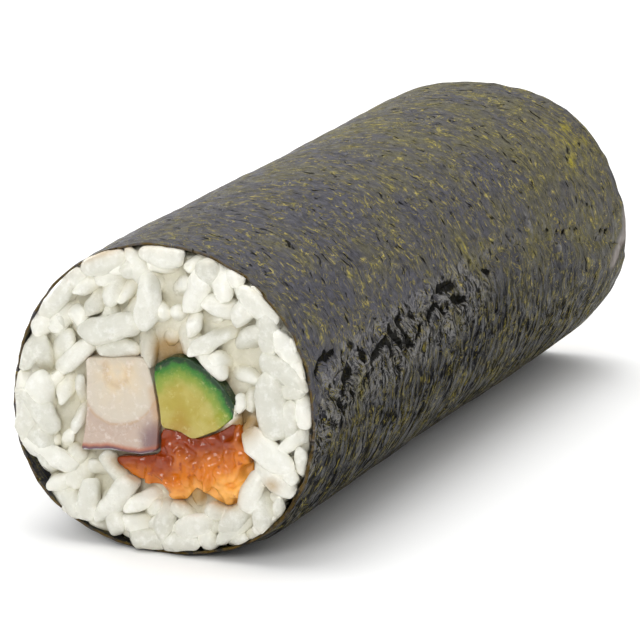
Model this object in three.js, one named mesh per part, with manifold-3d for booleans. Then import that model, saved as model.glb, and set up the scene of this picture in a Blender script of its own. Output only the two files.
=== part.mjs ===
// A hand roll of sushi: one sheet of dried seaweed wrapped round seasoned rice, with a strip of cured
// mackerel, a wedge of cucumber and a chopped orange relish that run through it from end to end.
//
// Millimetres. X is across the roll, Y is along it and Z is up. The roll lies on a flat strip at Z = 0,
// its shown end faces -Y, and the origin is in the middle of the strip that it lies on. Angles on the
// round section are in degrees from +X towards +Z.
import * as THREE from "three";
import { mergeVertices } from "three/addons/utils/BufferGeometryUtils.js";
import Module from "manifold-3d";

// Driving dimensions
const ROLL_LENGTH = 100;
const ROLL_WIDTH = 38;
const ROLL_HEIGHT = 35.2;
const AXIS_HEIGHT = 17.3; // the middle of the section above the floor: the foot is cut flat below it
const THREE_LOBED = 0.018; // share of the radius by which the shown end is pressed to three soft lobes
const FOUR_LOBED = 0.013; // share by which the whole roll is squarer than an ellipse
const WAVE = 0.006; // share by which the radius swells and shrinks along the roll
const WAVE_LENGTH = 63;

const SHEET_THICKNESS = 0.45;
const LAYER_GAP = 0.15; // air between the two layers where the sheet laps over its own start
const SHEET_START = -50; // angle of the hidden inner edge
const LAP_RISE = 18; // degrees over which the sheet climbs onto its own start
const SEAM_AT_ENDS = -2;
const SEAM_IN_MIDDLE = 17;
const SEAM_RAGGED = 1.6; // degrees by which the torn outer edge wanders
const LIP_HEIGHT = 0.35; // the shrunken outer edge stands up in a low crinkled ridge
const LIP_WIDTH = 6; // degrees
const END_WANDER = 0.25; // how far the cut ends of the sheet run in and out
const END_SLANT = 0.0009; // share of the length by which each millimetre right or down makes it longer
const SHEET_COLUMNS = 70;
const SHEET_ROWS = 14;

const CLEARANCE = 0.3; // between one piece and the next
const GRAIN_LENGTH = 7.8;
const GRAIN_WIDTH = 3.5;
const GRAIN_DEPTH = 3.0;
const GRAIN_SPACING = 2.5; // least distance between the middle lines of two grains
const SHORT_GRAIN = 4.6; // length across the face of a grain that points out of it
const GRAIN_TRIES = 3600;
const GRAIN_SIDES = 6;
const PRESSED = 0.5; // millimetres by which the sheet may press a grain flat at the rim
const RICE_RECESS = 2.2; // from the tops of the grains back to the packed rice behind them
const GRAIN_SINK = 1.55; // from the end of the roll back to the middle of a grain

const FISH = [
  [-9.9, 21.4], [-2.4, 22.2], [-1.9, 19.7], [-1.3, 17.2], [-1.15, 15.3],
  [-1.3, 11.7], [-3.2, 11.2], [-6.8, 11.1], [-10.5, 10.7], [-9.8, 15.1], [-9.9, 18.8],
];
const CUCUMBER = [
  [-1.45, 21.5], [0.7, 22.6], [2.9, 22.5], [5.2, 21.4], [7.3, 19.6], [9.2, 17.1],
  [6.4, 14.9], [3.5, 13.7], [1.7, 14.4], [-0.5, 14.5], [-0.75, 17.3], [-1.3, 19.7],
];
const RELISH = [
  [-0.85, 14.15], [1.5, 13.95], [3.5, 13.2], [6.6, 14.4], [9.0, 16.1], [9.9, 13.6], [10.9, 10.6],
  [9.6, 8.8], [9.2, 6.7], [7.2, 6.1], [5.1, 7.1], [3.4, 7.5], [2.3, 6.2], [0.4, 6.4],
  [-0.7, 7.6], [-3.3, 8.0], [-5.6, 9.2], [-6.3, 10.3], [-3.0, 10.7], [-0.75, 11.2],
];
const CORNER = 0.7;
const FILLING_BEVEL = 0.35;
const CUCUMBER_RECESS = 0.4;
const RELISH_RECESS = 1.6;
const LUMP_SIZE = 2.5;
const LUMP_SPACING = 1.75;
const LUMP_TRIES = 500;
const LUMP_SIDES = 6;
const SEED = 11;

const wasm = await Module();
wasm.setup();

// Small helpers
const radians = THREE.MathUtils.degToRad;
const smooth = THREE.MathUtils.smoothstep;

function randomFrom(seed) {
  let state = seed;
  return () => {
    state = (state + 0x6d2b79f5) | 0;
    let mixed = Math.imul(state ^ (state >>> 15), 1 | state);
    mixed = (mixed + Math.imul(mixed ^ (mixed >>> 7), 61 | mixed)) ^ mixed;
    return ((mixed ^ (mixed >>> 14)) >>> 0) / 2 ** 32;
  };
}

function solidFrom(geometry) {
  const bare = geometry.clone();
  bare.deleteAttribute("normal");
  bare.deleteAttribute("uv");
  const merged = mergeVertices(bare, 1e-4);
  const mesh = new wasm.Mesh({
    numProp: 3,
    vertProperties: new Float32Array(merged.attributes.position.array),
    triVerts: new Uint32Array(merged.index.array),
  });
  return new wasm.Manifold(mesh);
}

// The largest connected body of a solid, which leaves out any scrap that a cut has set loose.
function largestBody(solid) {
  return solid.decompose().sort((a, b) => b.volume() - a.volume())[0];
}

function geometryFrom(solid) {
  const mesh = solid.getMesh();
  const geometry = new THREE.BufferGeometry();
  geometry.setAttribute("position", new THREE.BufferAttribute(mesh.vertProperties, 3));
  geometry.setIndex(new THREE.BufferAttribute(mesh.triVerts, 1));
  geometry.computeVertexNormals();
  return geometry;
}

function unionOf(solids) {
  return solids.reduce((whole, next) => whole.add(next));
}

function inside(point, outline) {
  let within = false;
  for (let i = 0, j = outline.length - 1; i < outline.length; j = i++) {
    const a = outline[i];
    const b = outline[j];
    const crosses = a.y > point.y !== b.y > point.y;
    if (crosses && point.x < a.x + ((point.y - a.y) / (b.y - a.y)) * (b.x - a.x)) within = !within;
  }
  return within;
}

// A closed outline through the corners, each of them rounded off.
function rounded(corners, radius) {
  const points = corners.map(([x, z]) => new THREE.Vector2(x, z));
  const shape = new THREE.Shape();
  points.forEach((corner, i) => {
    const before = points[(i + points.length - 1) % points.length];
    const after = points[(i + 1) % points.length];
    const into = corner.clone().lerp(before, Math.min(radius / corner.distanceTo(before), 0.4));
    const outOf = corner.clone().lerp(after, Math.min(radius / corner.distanceTo(after), 0.4));
    if (i === 0) shape.moveTo(into.x, into.y);
    else shape.lineTo(into.x, into.y);
    shape.quadraticCurveTo(corner.x, corner.y, outOf.x, outOf.y);
  });
  return shape.getPoints(2).filter((point, i, all) => point.distanceTo(all[(i + 1) % all.length]) > 0.02);
}

// A closed outline moved outwards by `amount`, or inwards where it is negative.
function grown(outline, amount) {
  const turn = THREE.ShapeUtils.isClockWise(outline) ? -1 : 1;
  return outline.map((point, i) => {
    const before = outline[(i + outline.length - 1) % outline.length];
    const after = outline[(i + 1) % outline.length];
    const along = after.clone().sub(before).normalize();
    return new THREE.Vector2(point.x + along.y * amount * turn, point.y - along.x * amount * turn);
  });
}

// The roll's round section
function unevenness(degrees, y) {
  const angle = radians(degrees);
  const towardsShownEnd = THREE.MathUtils.clamp(0.5 - y / ROLL_LENGTH, 0, 1);
  const lobes = -THREE_LOBED * towardsShownEnd * Math.sin(3 * angle) - FOUR_LOBED * Math.cos(4 * angle);
  const wave = WAVE * Math.sin((2 * Math.PI * y) / WAVE_LENGTH + 2 * angle);
  return 1 + lobes + wave;
}

// The cut ends lean: the roll is a little longer at its right and at its foot.
function slant(x, z) {
  return 1 + END_SLANT * (x - (z - AXIS_HEIGHT));
}

// A point of the section at an angle, `inset` inside the sheet's own outer face. The foot is flat.
function sectionPoint(degrees, y, inset) {
  const angle = radians(degrees);
  const factor = unevenness(degrees, y);
  const halfWidth = (ROLL_WIDTH - SHEET_THICKNESS - LAYER_GAP) / 2;
  const halfHeight = ROLL_HEIGHT - AXIS_HEIGHT;
  const x = (halfWidth * factor - inset) * Math.cos(angle);
  const rise = (halfHeight * factor - inset) * Math.sin(angle);
  const z = AXIS_HEIGHT + rise;
  return new THREE.Vector3(x, y * slant(x, z), Math.max(z, inset));
}

// A solid barrel of the roll's own section, `inset` inside the sheet's outer face.
function barrel(inset, length) {
  const geometry = new THREE.CylinderGeometry(1, 1, length, 60, 8);
  const points = geometry.attributes.position;
  for (let i = 0; i < points.count; i++) {
    const across = Math.hypot(points.getX(i), points.getZ(i));
    const degrees = THREE.MathUtils.radToDeg(Math.atan2(points.getZ(i), points.getX(i)));
    const edge = sectionPoint(degrees, points.getY(i), inset);
    const z = AXIS_HEIGHT + (edge.z - AXIS_HEIGHT) * across;
    points.setXYZ(i, edge.x * across, edge.y, z);
  }
  return solidFrom(geometry);
}

// The seaweed: one strip from its hidden inner edge, once round and on over its start to the seam
function seamAngle(y, wobble) {
  const share = Math.sqrt(Math.max(Math.cos((Math.PI * y) / ROLL_LENGTH), 0));
  return 360 + THREE.MathUtils.lerp(SEAM_AT_ENDS, SEAM_IN_MIDDLE, share) + SEAM_RAGGED * wobble;
}

function sheetPoint(u, v, depth, wobbles) {
  const row = Math.round(v * SHEET_ROWS);
  const column = Math.round(u * SHEET_COLUMNS);
  const atEnd = row === 0 || row === SHEET_ROWS;
  const endWander = atEnd ? END_WANDER * Math.sin(column * 0.5 + row) : 0;
  const middleY = (v - 0.5) * ROLL_LENGTH;
  const seam = seamAngle(middleY, wobbles[row]);
  const degrees = SHEET_START + u * (seam - SHEET_START);
  const lapStart = SHEET_START + 360;
  const climb = smooth(degrees, lapStart - LAP_RISE, lapStart - 1) * (SHEET_THICKNESS + LAYER_GAP);
  const fromSeam = (seam - LIP_WIDTH * 0.6 - degrees) / LIP_WIDTH;
  const lip = LIP_HEIGHT * (0.7 + 0.5 * wobbles[SHEET_ROWS - row]) * Math.exp(-4 * fromSeam * fromSeam);
  const point = sectionPoint(degrees, middleY, depth - climb - lip);
  point.y += endWander;
  return point;
}

// A thin closed solid whose two faces are split alike: two planes of one grid, joined round the edge.
function sheetGeometry(columns, rows, place) {
  const plane = new THREE.PlaneGeometry(1, 1, columns, rows);
  const grid = plane.attributes.position;
  const positions = [];
  for (const depth of [0, SHEET_THICKNESS]) {
    for (let i = 0; i < grid.count; i++) {
      const point = place(grid.getX(i) + 0.5, grid.getY(i) + 0.5, depth);
      positions.push(point.x, point.y, point.z);
    }
  }
  const faces = Array.from(plane.index.array);
  const other = grid.count;
  const index = [];
  for (let i = 0; i < faces.length; i += 3) {
    const [a, b, c] = faces.slice(i, i + 3);
    index.push(a, c, b, a + other, b + other, c + other);
  }
  const across = columns + 1;
  const rim = [];
  for (let i = 0; i < columns; i++) rim.push(i);
  for (let j = 0; j < rows; j++) rim.push(columns + j * across);
  for (let i = columns; i > 0; i--) rim.push(rows * across + i);
  for (let j = rows; j > 0; j--) rim.push(j * across);
  rim.forEach((a, i) => {
    const b = rim[(i + 1) % rim.length];
    index.push(b, a, a + other, b, a + other, b + other);
  });
  const geometry = new THREE.BufferGeometry();
  geometry.setAttribute("position", new THREE.Float32BufferAttribute(positions, 3));
  geometry.setIndex(index);
  geometry.computeVertexNormals();
  return geometry;
}

function seaweed() {
  const random = randomFrom(SEED);
  const wobbles = Array.from({ length: SHEET_ROWS + 1 }, () => 2 * random() - 1);
  return sheetGeometry(SHEET_COLUMNS, SHEET_ROWS, (u, v, depth) => sheetPoint(u, v, depth, wobbles));
}

// A filling: its outline extruded from end to end, with its edges rounded over at both ends.
function throughRoll(outline, recess, bevel) {
  const length = ROLL_LENGTH - 2 * recess;
  const geometry = new THREE.ExtrudeGeometry(new THREE.Shape(outline), {
    depth: length - 2 * bevel,
    bevelEnabled: bevel > 0,
    bevelThickness: bevel,
    bevelSize: bevel,
    bevelOffset: -bevel,
    bevelSegments: 2,
  });
  geometry.rotateX(Math.PI / 2);
  geometry.translate(0, length / 2 - bevel, 0);
  return geometry;
}

// A rounded piece of a heap: a low ball drawn out along its X, turned on the face and tipped out of it.
function pebble({ x, z, y, length, width, depth, turn, tip, sides }) {
  const ball = new THREE.SphereGeometry(0.5, sides, sides - 2);
  ball.rotateZ(Math.PI / 2);
  ball.scale(length, depth, width);
  ball.rotateZ(tip);
  ball.rotateY(turn);
  ball.translate(x, y, z);
  return solidFrom(ball);
}

// Places for the pieces of a heap on an end face: the largest first, spread evenly and clear of all else.
function scatter(random, tries, spacing, allowed, draw) {
  const placed = [];
  for (let i = 0; i < tries; i++) {
    const piece = draw(random, i / tries);
    const reach = Math.max(piece.across - piece.width, 0) / 2;
    const way = new THREE.Vector2(Math.cos(piece.turn), -Math.sin(piece.turn));
    const middle = new THREE.Vector2(piece.x, piece.z);
    const line = [-1, -0.5, 0, 0.5, 1].map((s) => middle.clone().addScaledVector(way, s * reach));
    const sides = [0, 1, 2, 3, 4, 5, 6, 7].map((k) => {
      const angle = (k * Math.PI) / 4;
      return new THREE.Vector2(Math.cos(angle), Math.sin(angle)).multiplyScalar(piece.width * 0.45);
    });
    const clear = line.every((point) => sides.every((side) => allowed(point.clone().add(side))));
    const free = placed.every((other) => {
      const apart = spacing * Math.min(other.share, piece.share);
      return other.line.every((a) => line.every((b) => a.distanceTo(b) > apart));
    });
    if (clear && free) placed.push({ ...piece, line });
  }
  return placed;
}

function drawGrain(random, progress) {
  const angle = 2 * Math.PI * random();
  const radius = (ROLL_WIDTH / 2) * Math.sqrt(random());
  const size = 0.9 + 0.22 * random();
  const pointsOut = progress > 0.45;
  const tip = (pointsOut ? 0.95 : 0.3) * (random() < 0.5 ? -1 : 1) * (0.5 + 0.5 * random());
  return {
    x: radius * Math.cos(angle),
    z: AXIS_HEIGHT + radius * Math.sin(angle),
    turn: 2 * Math.PI * random(),
    tip,
    length: GRAIN_LENGTH * size,
    across: pointsOut ? SHORT_GRAIN : GRAIN_LENGTH * size,
    width: GRAIN_WIDTH * size * (pointsOut ? 0.9 : 1),
    depth: GRAIN_DEPTH * size,
    lift: 0.7 * (random() - 0.5),
    share: pointsOut ? 0.93 : 1,
  };
}

function drawLump(random, progress) {
  const size = LUMP_SIZE * (1.25 - 0.6 * progress) * (0.8 + 0.4 * random());
  return {
    x: -6.5 + 18 * random(),
    z: 5.5 + 11 * random(),
    turn: 2 * Math.PI * random(),
    tip: 0.5 * (random() - 0.5),
    length: size * 1.5,
    across: size * 1.3,
    width: size * 0.9,
    depth: size,
    lift: 0.8 * (random() - 0.5),
    share: 1 - 0.3 * progress,
  };
}

// Both ends of a heap, the same rule with its own draw for each end.
function heapOnEnds(seed, sink, tries, spacing, allowed, draw, sides) {
  return [-1, 1].flatMap((end) =>
    scatter(randomFrom(seed + end), tries, spacing, allowed, draw).map((piece) =>
      pebble({ ...piece, y: end * (ROLL_LENGTH / 2 - sink + piece.lift) * slant(piece.x, piece.z), sides }),
    ),
  );
}

function rice(fillingOutlines) {
  const tunnels = fillingOutlines.map((outline) => grown(outline, CLEARANCE));
  const boreInset = SHEET_THICKNESS + CLEARANCE;
  const rim = Array.from({ length: 72 }, (_, i) => {
    const point = sectionPoint(5 * i, -ROLL_LENGTH / 2, boreInset - PRESSED);
    return new THREE.Vector2(point.x, point.z);
  });
  const allowed = (point) => inside(point, rim) && !tunnels.some((tunnel) => inside(point, tunnel));
  const grains = heapOnEnds(SEED, GRAIN_SINK, GRAIN_TRIES, GRAIN_SPACING, allowed, drawGrain, GRAIN_SIDES);
  const packed = unionOf([barrel(boreInset + 0.1, ROLL_LENGTH - 2 * RICE_RECESS), ...grains]);
  const pressed = packed.intersect(barrel(boreInset, ROLL_LENGTH + 8));
  const cuts = tunnels.map((tunnel) => solidFrom(throughRoll(tunnel, -4, 0)));
  return geometryFrom(largestBody(cuts.reduce((whole, cut) => whole.subtract(cut), pressed)));
}

function relish(outline) {
  const allowed = (point) => inside(point, outline);
  const core = solidFrom(throughRoll(grown(outline, -0.25), RELISH_RECESS, 0));
  const sink = RELISH_RECESS + 0.2;
  const lumps = heapOnEnds(SEED + 40, sink, LUMP_TRIES, LUMP_SPACING, allowed, drawLump, LUMP_SIDES);
  const within = solidFrom(throughRoll(outline, -4, 0));
  return geometryFrom(largestBody(unionOf([core, ...lumps]).intersect(within)));
}

function finish(colour, roughness, metalness = 0) {
  return new THREE.MeshStandardMaterial({ color: colour, roughness, metalness, flatShading: true });
}

function named(name, geometry, material) {
  const mesh = new THREE.Mesh(geometry, material);
  mesh.name = name;
  return mesh;
}

const fishSection = rounded(FISH, CORNER);
const cucumberSection = rounded(CUCUMBER, CORNER);
const relishSection = rounded(RELISH, CORNER);

const roll = new THREE.Group();
roll.name = "hand_roll";
roll.add(
  named("seaweed_sheet", seaweed(), finish(0x33332f, 0.5)),
  named("rice", rice([fishSection, cucumberSection, relishSection]), finish(0xe9e7df, 0.45)),
  named("mackerel", throughRoll(fishSection, 0, FILLING_BEVEL), finish(0xdccbc0, 0.35)),
  named("cucumber", throughRoll(cucumberSection, CUCUMBER_RECESS, FILLING_BEVEL), finish(0xa9ad55, 0.3)),
  named("relish", relish(relishSection), finish(0xc76a2a, 0.25)),
);

// The origin is in the middle of the box that the roll fills, on the floor.
const box = new THREE.Box3().setFromObject(roll, true);
const middle = box.getCenter(new THREE.Vector3());
roll.position.set(-middle.x, -middle.y, -box.min.z);

export default roll;
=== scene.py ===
"""A hand roll of sushi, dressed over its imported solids: a dried seaweed sheet wrapped round rice, with cured
mackerel, a cucumber wedge and a chopped orange relish running through it. Sizes in the tables below are in
millimetres and meshes are in metres. X is across the roll, Y along it and Z up; the shown end faces -Y.
"""

import math

import bpy
import numpy as np
from mathutils import Matrix, Vector, noise


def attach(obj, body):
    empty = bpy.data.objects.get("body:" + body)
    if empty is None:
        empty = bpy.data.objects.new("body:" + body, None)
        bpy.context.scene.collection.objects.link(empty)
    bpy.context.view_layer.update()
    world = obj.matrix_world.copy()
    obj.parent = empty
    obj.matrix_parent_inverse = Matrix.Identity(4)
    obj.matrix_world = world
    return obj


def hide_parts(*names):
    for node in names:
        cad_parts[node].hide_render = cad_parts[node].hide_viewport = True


bl_info = {
    "name": "Sushi hand roll",
    "version": (1, 0, 0),
    "blender": (4, 5, 0),
    "location": "3D View > Sidebar > Hand roll",
    "description": "Builds a hand roll of seaweed, rice, mackerel, cucumber and relish",
    "category": "Add Mesh",
}

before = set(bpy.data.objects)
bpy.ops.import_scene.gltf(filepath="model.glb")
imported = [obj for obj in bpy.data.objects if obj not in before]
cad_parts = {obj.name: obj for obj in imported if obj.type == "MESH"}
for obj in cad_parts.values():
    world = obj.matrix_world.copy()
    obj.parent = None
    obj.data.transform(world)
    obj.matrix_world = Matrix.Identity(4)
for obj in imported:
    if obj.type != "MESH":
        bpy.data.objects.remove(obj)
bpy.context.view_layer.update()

MM = 0.001
AXIS_X = -0.36  # middle of the roll's section
AXIS_Z = 17.3
MIDDLE_Y = 0.33
THREE_LOBED = 0.018  # share of the radius by which the shown end is pressed to three soft lobes
FOUR_LOBED = 0.013  # share by which the whole roll is squarer than an ellipse
WAVE = 0.006  # share by which the radius swells and shrinks along the roll
WAVE_LENGTH = 63.0
END_SLANT = 0.0009  # each millimetre right or down makes the roll this share longer
LAYER_GAP = 0.15  # air between the sheet's two layers at the lap
SHEET_START = -50.0  # hidden inner edge; degrees from +X towards +Z, as all angles on the section are
LAP_RISE = 18.0  # degrees over which the outer layer climbs onto the start of the inner one
SHEET_LENGTH = 100  # length that the sheet's own tables and patterns count in
SHEET_RADIUS = 18.4  # turns degrees round the sheet into millimetres
SHEET_SHARE = 0.6  # share of a layer's room that the sheet itself fills
# Torn outer edge of the sheet: share of the length from the shown end, and degrees
SEAM = (
    (0, -6), (0.012, -4), (0.028, 5), (0.07, 11), (0.13, 15), (0.18, 13), (0.26, 16), (0.36, 16),
    (0.52, 19), (0.59, 20), (0.68, 17), (0.775, 12), (0.875, 4), (0.95, -3), (1, -6),
)
# The sheet's grid is finer where it is crinkled: share of the columns and degrees, the last at the seam
COLUMNS = ((0, SHEET_START), (0.12, -8), (0.26, 36), (0.8, 336))
ROWS = ((0, 0), (0.05, 0.016), (0.95, 0.984), (1, 1))
# Crevices torn into the seam, dented and painted near black as shade: degrees and millimetres from the shown end, for
# both ends, and half width
CREVICES = (
    (15.5, 2.4, 20, 6.8, 0.35), (18, 6.4, 18.5, 8.8, 0.4), (17, 10.8, 13.5, 10.4, 0.3), (7.5, 9.2, 9, 11.2, 0.8),
    (15, 15.2, 10, 15.2, 0.4), (8.5, 16.8, 13, 22.8, 0.35), (15.5, 24.4, 5, 26.4, 0.5), (15.5, 27.2, 6, 28.4, 0.5),
    (21, 28.8, 15.5, 27.6, 0.3), (20, 32.4, 14.5, 31.6, 0.35), (6.5, 30.8, 10, 32.8, 0.4), (9.5, 35.2, 14, 37.6, 0.4),
    (17.5, 40.8, 17, 44.4, 0.7), (13, 42, 10, 46.4, 0.5), (10.5, 22.4, 7.5, 22.8, 0.6), (4.5, 24, 0.5, 24.4, 0.3),
    (15, 54, 13.5, 54.8, 0.4), (12.5, 78.4, 10.5, 84, 0.15), (4.5, 91, 2.5, 94, 0.14), (22.5, 63.6, 20, 64, 0.3),
    (1.5, 6.8, -3, 8.4, 0.4), (16, 38, 10, 39.6, 0.45),
)
# Raised folds beside the crevices, with a painted pale sheen on them, placed as these are, and their half width
FOLD_HALF = 0.35
FOLDS = (
    (5.5, 11.2, 8.5, 18), (8.5, 18, 11, 23.2), (11, 23.2, 0, 26), (0.5, 28, 4.5, 30.4), (4.5, 30.4, 7, 34.4),
    (7, 2.4, -4, 6), (14, 40.4, 8, 42.4), (5.5, 43.2, 9.5, 46.4), (21, 51.2, 30.5, 50.4), (25.5, 70.8, 19.5, 70.8),
    (20, 74.8, 6.5, 77.6),
)
# Thin spots painted with a yellow glow of light, in degrees, millimetres and radius, and a folded, smooth strip at the
# far rim painted pale as a reflection
BRIGHT_SPOTS = ((46, 95.3, 1.2), (33.4, 90, 1.3), (38, 97, 0.8), (52, 92, 0.7), (28, 95, 0.7), (26, 50.6, 0.9))
SHEEN_STRIP_LINE = ((5, 100.2), (-3, 99.6), (-10, 94.6))

# Outlines of the fillings on the cut face, and lines on them: x and z
FISH = (
    (-9.9, 21.4), (-2.3, 22.2), (-1.7, 19.7), (-1.05, 17.2), (-0.8, 15.4),
    (-0.9, 11.6), (-3.0, 11.0), (-6.7, 11.1), (-10.4, 10.7), (-9.7, 15.1), (-9.8, 18.8),
)
CUCUMBER = (
    (-1.35, 21.5), (0.8, 22.7), (3.0, 22.6), (5.3, 21.5), (7.4, 19.7), (9.3, 17.1),
    (6.5, 14.8), (3.6, 13.5), (1.8, 14.3), (-0.3, 14.4), (-0.7, 17.3), (-1.25, 19.7),
)
CUCUMBER_SKIN = ((-2.1, 20.8), (-1.35, 21.6), (0.8, 22.8), (3.0, 22.7), (5.3, 21.6), (7.4, 19.8), (9.4, 17.1))
RELISH = (
    (-0.65, 14.2), (1.6, 14.1), (3.6, 13.3), (6.6, 14.5), (9.1, 16.3), (9.7, 14.4), (10.8, 10.6),
    (9.7, 8.8), (9.3, 6.6), (7.3, 6.1), (5.2, 7.1), (3.7, 7.9), (2.5, 6.2), (0.7, 6.3),
    (-0.4, 7.6), (-3.2, 8.0), (-5.5, 9.2), (-6.5, 10.3), (-2.9, 10.7), (-0.65, 11.2),
)
FILLINGS = (FISH, CUCUMBER, RELISH)
FISH_SKIN = ((-10.5, 10.5), (-6.7, 10.9), (-3.0, 10.8), (-0.7, 11.3))
BLOODLINE = ((-1.4, 18.5), (-1.0, 16.5), (-0.75, 14.5), (-0.9, 11.6))
DARK_CORNER = (-1.3, 12.6)
# Lower edges of the cucumber and the fish; the relish under them is painted darker as shade.
UNDER_CUCUMBER = ((-0.8, 11.4), (-0.6, 14.2), (1.6, 14.1), (3.6, 13.4), (6.7, 14.5))
UNDER_FISH = ((-6.5, 10.6), (-0.8, 11.1))
RELISH_BED = (0.9, 7)  # from the cut face back to both ends of the bed that the chopped pieces lie in
RELISH_VOXEL = 0.21
EDGE_LUMPS = 14  # chopped pieces laid in a row along the right edge, before the others are thrown in
# Hollows painted brown and darker, as oil stain and as shade, the more so deeper in: x, z and radius
SHADED_STAINED_HOLLOWS = ((-0.1, 22.9, 1.5), (10.4, 15.6, 1.3), (3.6, 6.9, 1.0), (13.6, 9.6, 0.8))
MUSCLE_HEART = (-5.8, 19.4)  # the muscle rings of the fish curl round this point
MUSCLE_CURL = ((-7.3, 20.9), (-7.1, 19.4), (-6.4, 18.8), (-5.6, 18.8), (-4.8, 19.4), (-4.3, 20.8))

# Grains that can be told apart on the shown end: x, z, turn in degrees, seen length, width, how far out
SHOWN_GRAINS = (
    (-9.7, 29.8, 40, 4.4, 2.7, 0.2), (-8.7, 27.8, 60, 4.0, 2.5, 0.0), (-6.1, 31.6, 30, 6.0, 2.6, -0.3),
    (-2.2, 28.9, 85, 7.5, 3.4, 0.9), (-4.8, 29.8, 55, 4.0, 2.2, -0.2), (0.2, 33.0, 10, 5.0, 2.2, -0.4),
    (3.8, 33.4, 30, 3.8, 1.9, -0.3), (5.0, 31.3, 85, 5.3, 3.1, 0.7), (1.3, 30.0, 35, 4.3, 2.6, -0.2),
    (8.0, 32.6, -45, 3.1, 2.1, 0.2), (6.8, 31.0, -55, 3.1, 2.4, -0.3), (10.1, 29.6, 65, 5.3, 3.1, 0.9),
    (11.8, 31.0, -50, 2.9, 1.9, 0.0), (12.5, 28.3, -75, 4.8, 2.6, -0.6), (1.3, 27.0, 80, 2.7, 2.3, 0.5),
    (3.4, 26.6, 85, 2.7, 2.0, 0.4), (5.0, 26.9, 15, 4.5, 2.2, -0.9), (5.8, 25.0, 30, 5.9, 2.6, 1.1),
    (10.2, 25.5, 40, 4.3, 2.8, 0.6), (-6.8, 25.0, 15, 8.1, 3.7, 0.9), (-12.7, 26.0, 40, 4.9, 2.9, 0.3),
    (-13.9, 23.5, 70, 5.2, 3.1, 0.1), (-15.8, 20.7, 80, 5.1, 3.2, 0.4), (-15.8, 15.9, 85, 6.8, 3.8, 0.8),
    (-12.7, 18.4, 80, 5.9, 2.5, -0.3), (-10.9, 17.1, 85, 4.1, 1.9, -0.4), (-10.9, 14.2, 70, 3.4, 1.7, 0.0),
    (-14.9, 12.5, -65, 4.2, 2.7, -0.6), (-12.5, 11.4, 60, 3.0, 2.0, -0.1), (-10.5, 8.3, 60, 4.9, 3.3, -0.1),
    (-12.7, 6.8, 25, 3.6, 2.3, 0.4), (-7.3, 8.7, -10, 4.7, 2.4, -0.7), (-5.9, 5.6, 45, 7.9, 3.2, 0.8),
    (-2.3, 5.9, 30, 5.2, 2.1, 0.3), (-10.8, 3.9, 15, 4.1, 2.7, -0.1), (-2.8, 2.6, -20, 4.8, 3.0, 0.2),
    (0.1, 3.8, 85, 4.6, 3.0, 0.6), (2.6, 4.4, -50, 4.4, 2.8, 0.2), (4.9, 2.9, -45, 4.1, 3.0, 0.3),
    (7.1, 5.2, -15, 4.8, 2.6, 0.1), (8.1, 2.8, -10, 4.6, 2.7, 0.0), (11.9, 6.8, -75, 6.2, 3.2, 0.8),
    (14.6, 8.9, 40, 4.1, 2.4, -0.4), (13.9, 6.8, 80, 2.6, 1.8, 0.0), (13.0, 13.2, -35, 7.5, 3.3, 1.1),
    (16.3, 14.9, 35, 4.8, 2.1, 0.4), (13.2, 18.4, -80, 8.0, 4.0, 0.9), (16.6, 19.1, -75, 5.4, 3.2, 0.5),
    (14.4, 22.6, 0, 5.6, 2.8, 0.3), (13.9, 24.7, 25, 5.3, 2.5, 0.0), (9.4, 21.3, 0, 4.4, 2.1, -0.3),
    (6.7, 22.5, -35, 2.7, 2.3, 0.8), (10.4, 18.6, 80, 2.8, 1.9, -0.2), (9.4, 18.3, -70, 1.9, 1.4, 0.6),
    (16.9, 12.2, -85, 3.7, 1.8, 0.2), (10.5, 16.1, 60, 3.0, 2.3, -0.7), (-7.7, 1.9, -20, 3.8, 2.2, -0.8),
    (0.3, 25.4, 80, 3.4, 2.3, -0.9), (3.6, 6.8, -20, 2.7, 2.0, -0.6), (12.9, 5.3, 48, 4.2, 2.2, -0.2),
    (10.4, 2.8, 35, 3.8, 2.1, -0.3),
)
# Gaps between grains on the shown end, by the sheet and between the fish and the cucumber: x, z and radius
HOLLOWS = (
    (-15.9, 8.8, 0.8), (-13.8, 4.9, 0.4), (-14.4, 28.9, 0.6), (-17.2, 24.2, 0.5), (-17.9, 21.2, 0.4), (-0.2, 23.2, 1.0),
)
BALL_RADIUS = 1.2  # grains are pressed apart as strings of three balls of this size
LOOSE_DEPTHS, RIM_DEPTHS = (1.2, 3.6), (0.75, 2.2)  # behind the cut face: grains anywhere, and by the sheet
RIM_RING = (16.9, 15.8)  # half width and half height of the ring of grains against the sheet
LOOSE_REACH = 16.8  # how far from the middle loose grains are thrown
CORE_INSET = 1.2  # from the sheet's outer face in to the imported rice
# Fitted to the outline in the photo: degrees, millimetres, and how far the aim lies off the roll's middle
CAMERA = {
    "azimuth": 22.406, "elevation": 14.211, "distance": 659.53, "lens": 311.2,
    "aim": (-1.6678, -3.6687), "middle": (0.11, 0.33, 19.0), "sensor": 36,
}
LAMP_AIM = (0, 0, 0.017)
SEED = 7


# Small helpers


def tint(red, green, blue):
    """A screen colour from 0 to 255 as the linear colour that materials take."""
    shares = (red / 255, green / 255, blue / 255)
    return tuple(c / 12.92 if c <= 0.04045 else ((c + 0.055) / 1.055) ** 2.4 for c in shares)


def deselect():
    if bpy.context.mode != "OBJECT":
        bpy.ops.object.mode_set(mode="OBJECT")
    bpy.ops.object.select_all(action="DESELECT")


def only(*pieces):
    """Selects these pieces alone; the first becomes the active one."""
    deselect()
    for piece in pieces:
        piece.select_set(True)
    bpy.context.view_layer.objects.active = pieces[0]


def joined(*pieces):
    """Makes one piece out of these, which takes the first one's place."""
    only(*pieces)
    bpy.ops.object.join()
    return bpy.context.view_layer.objects.active


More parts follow.
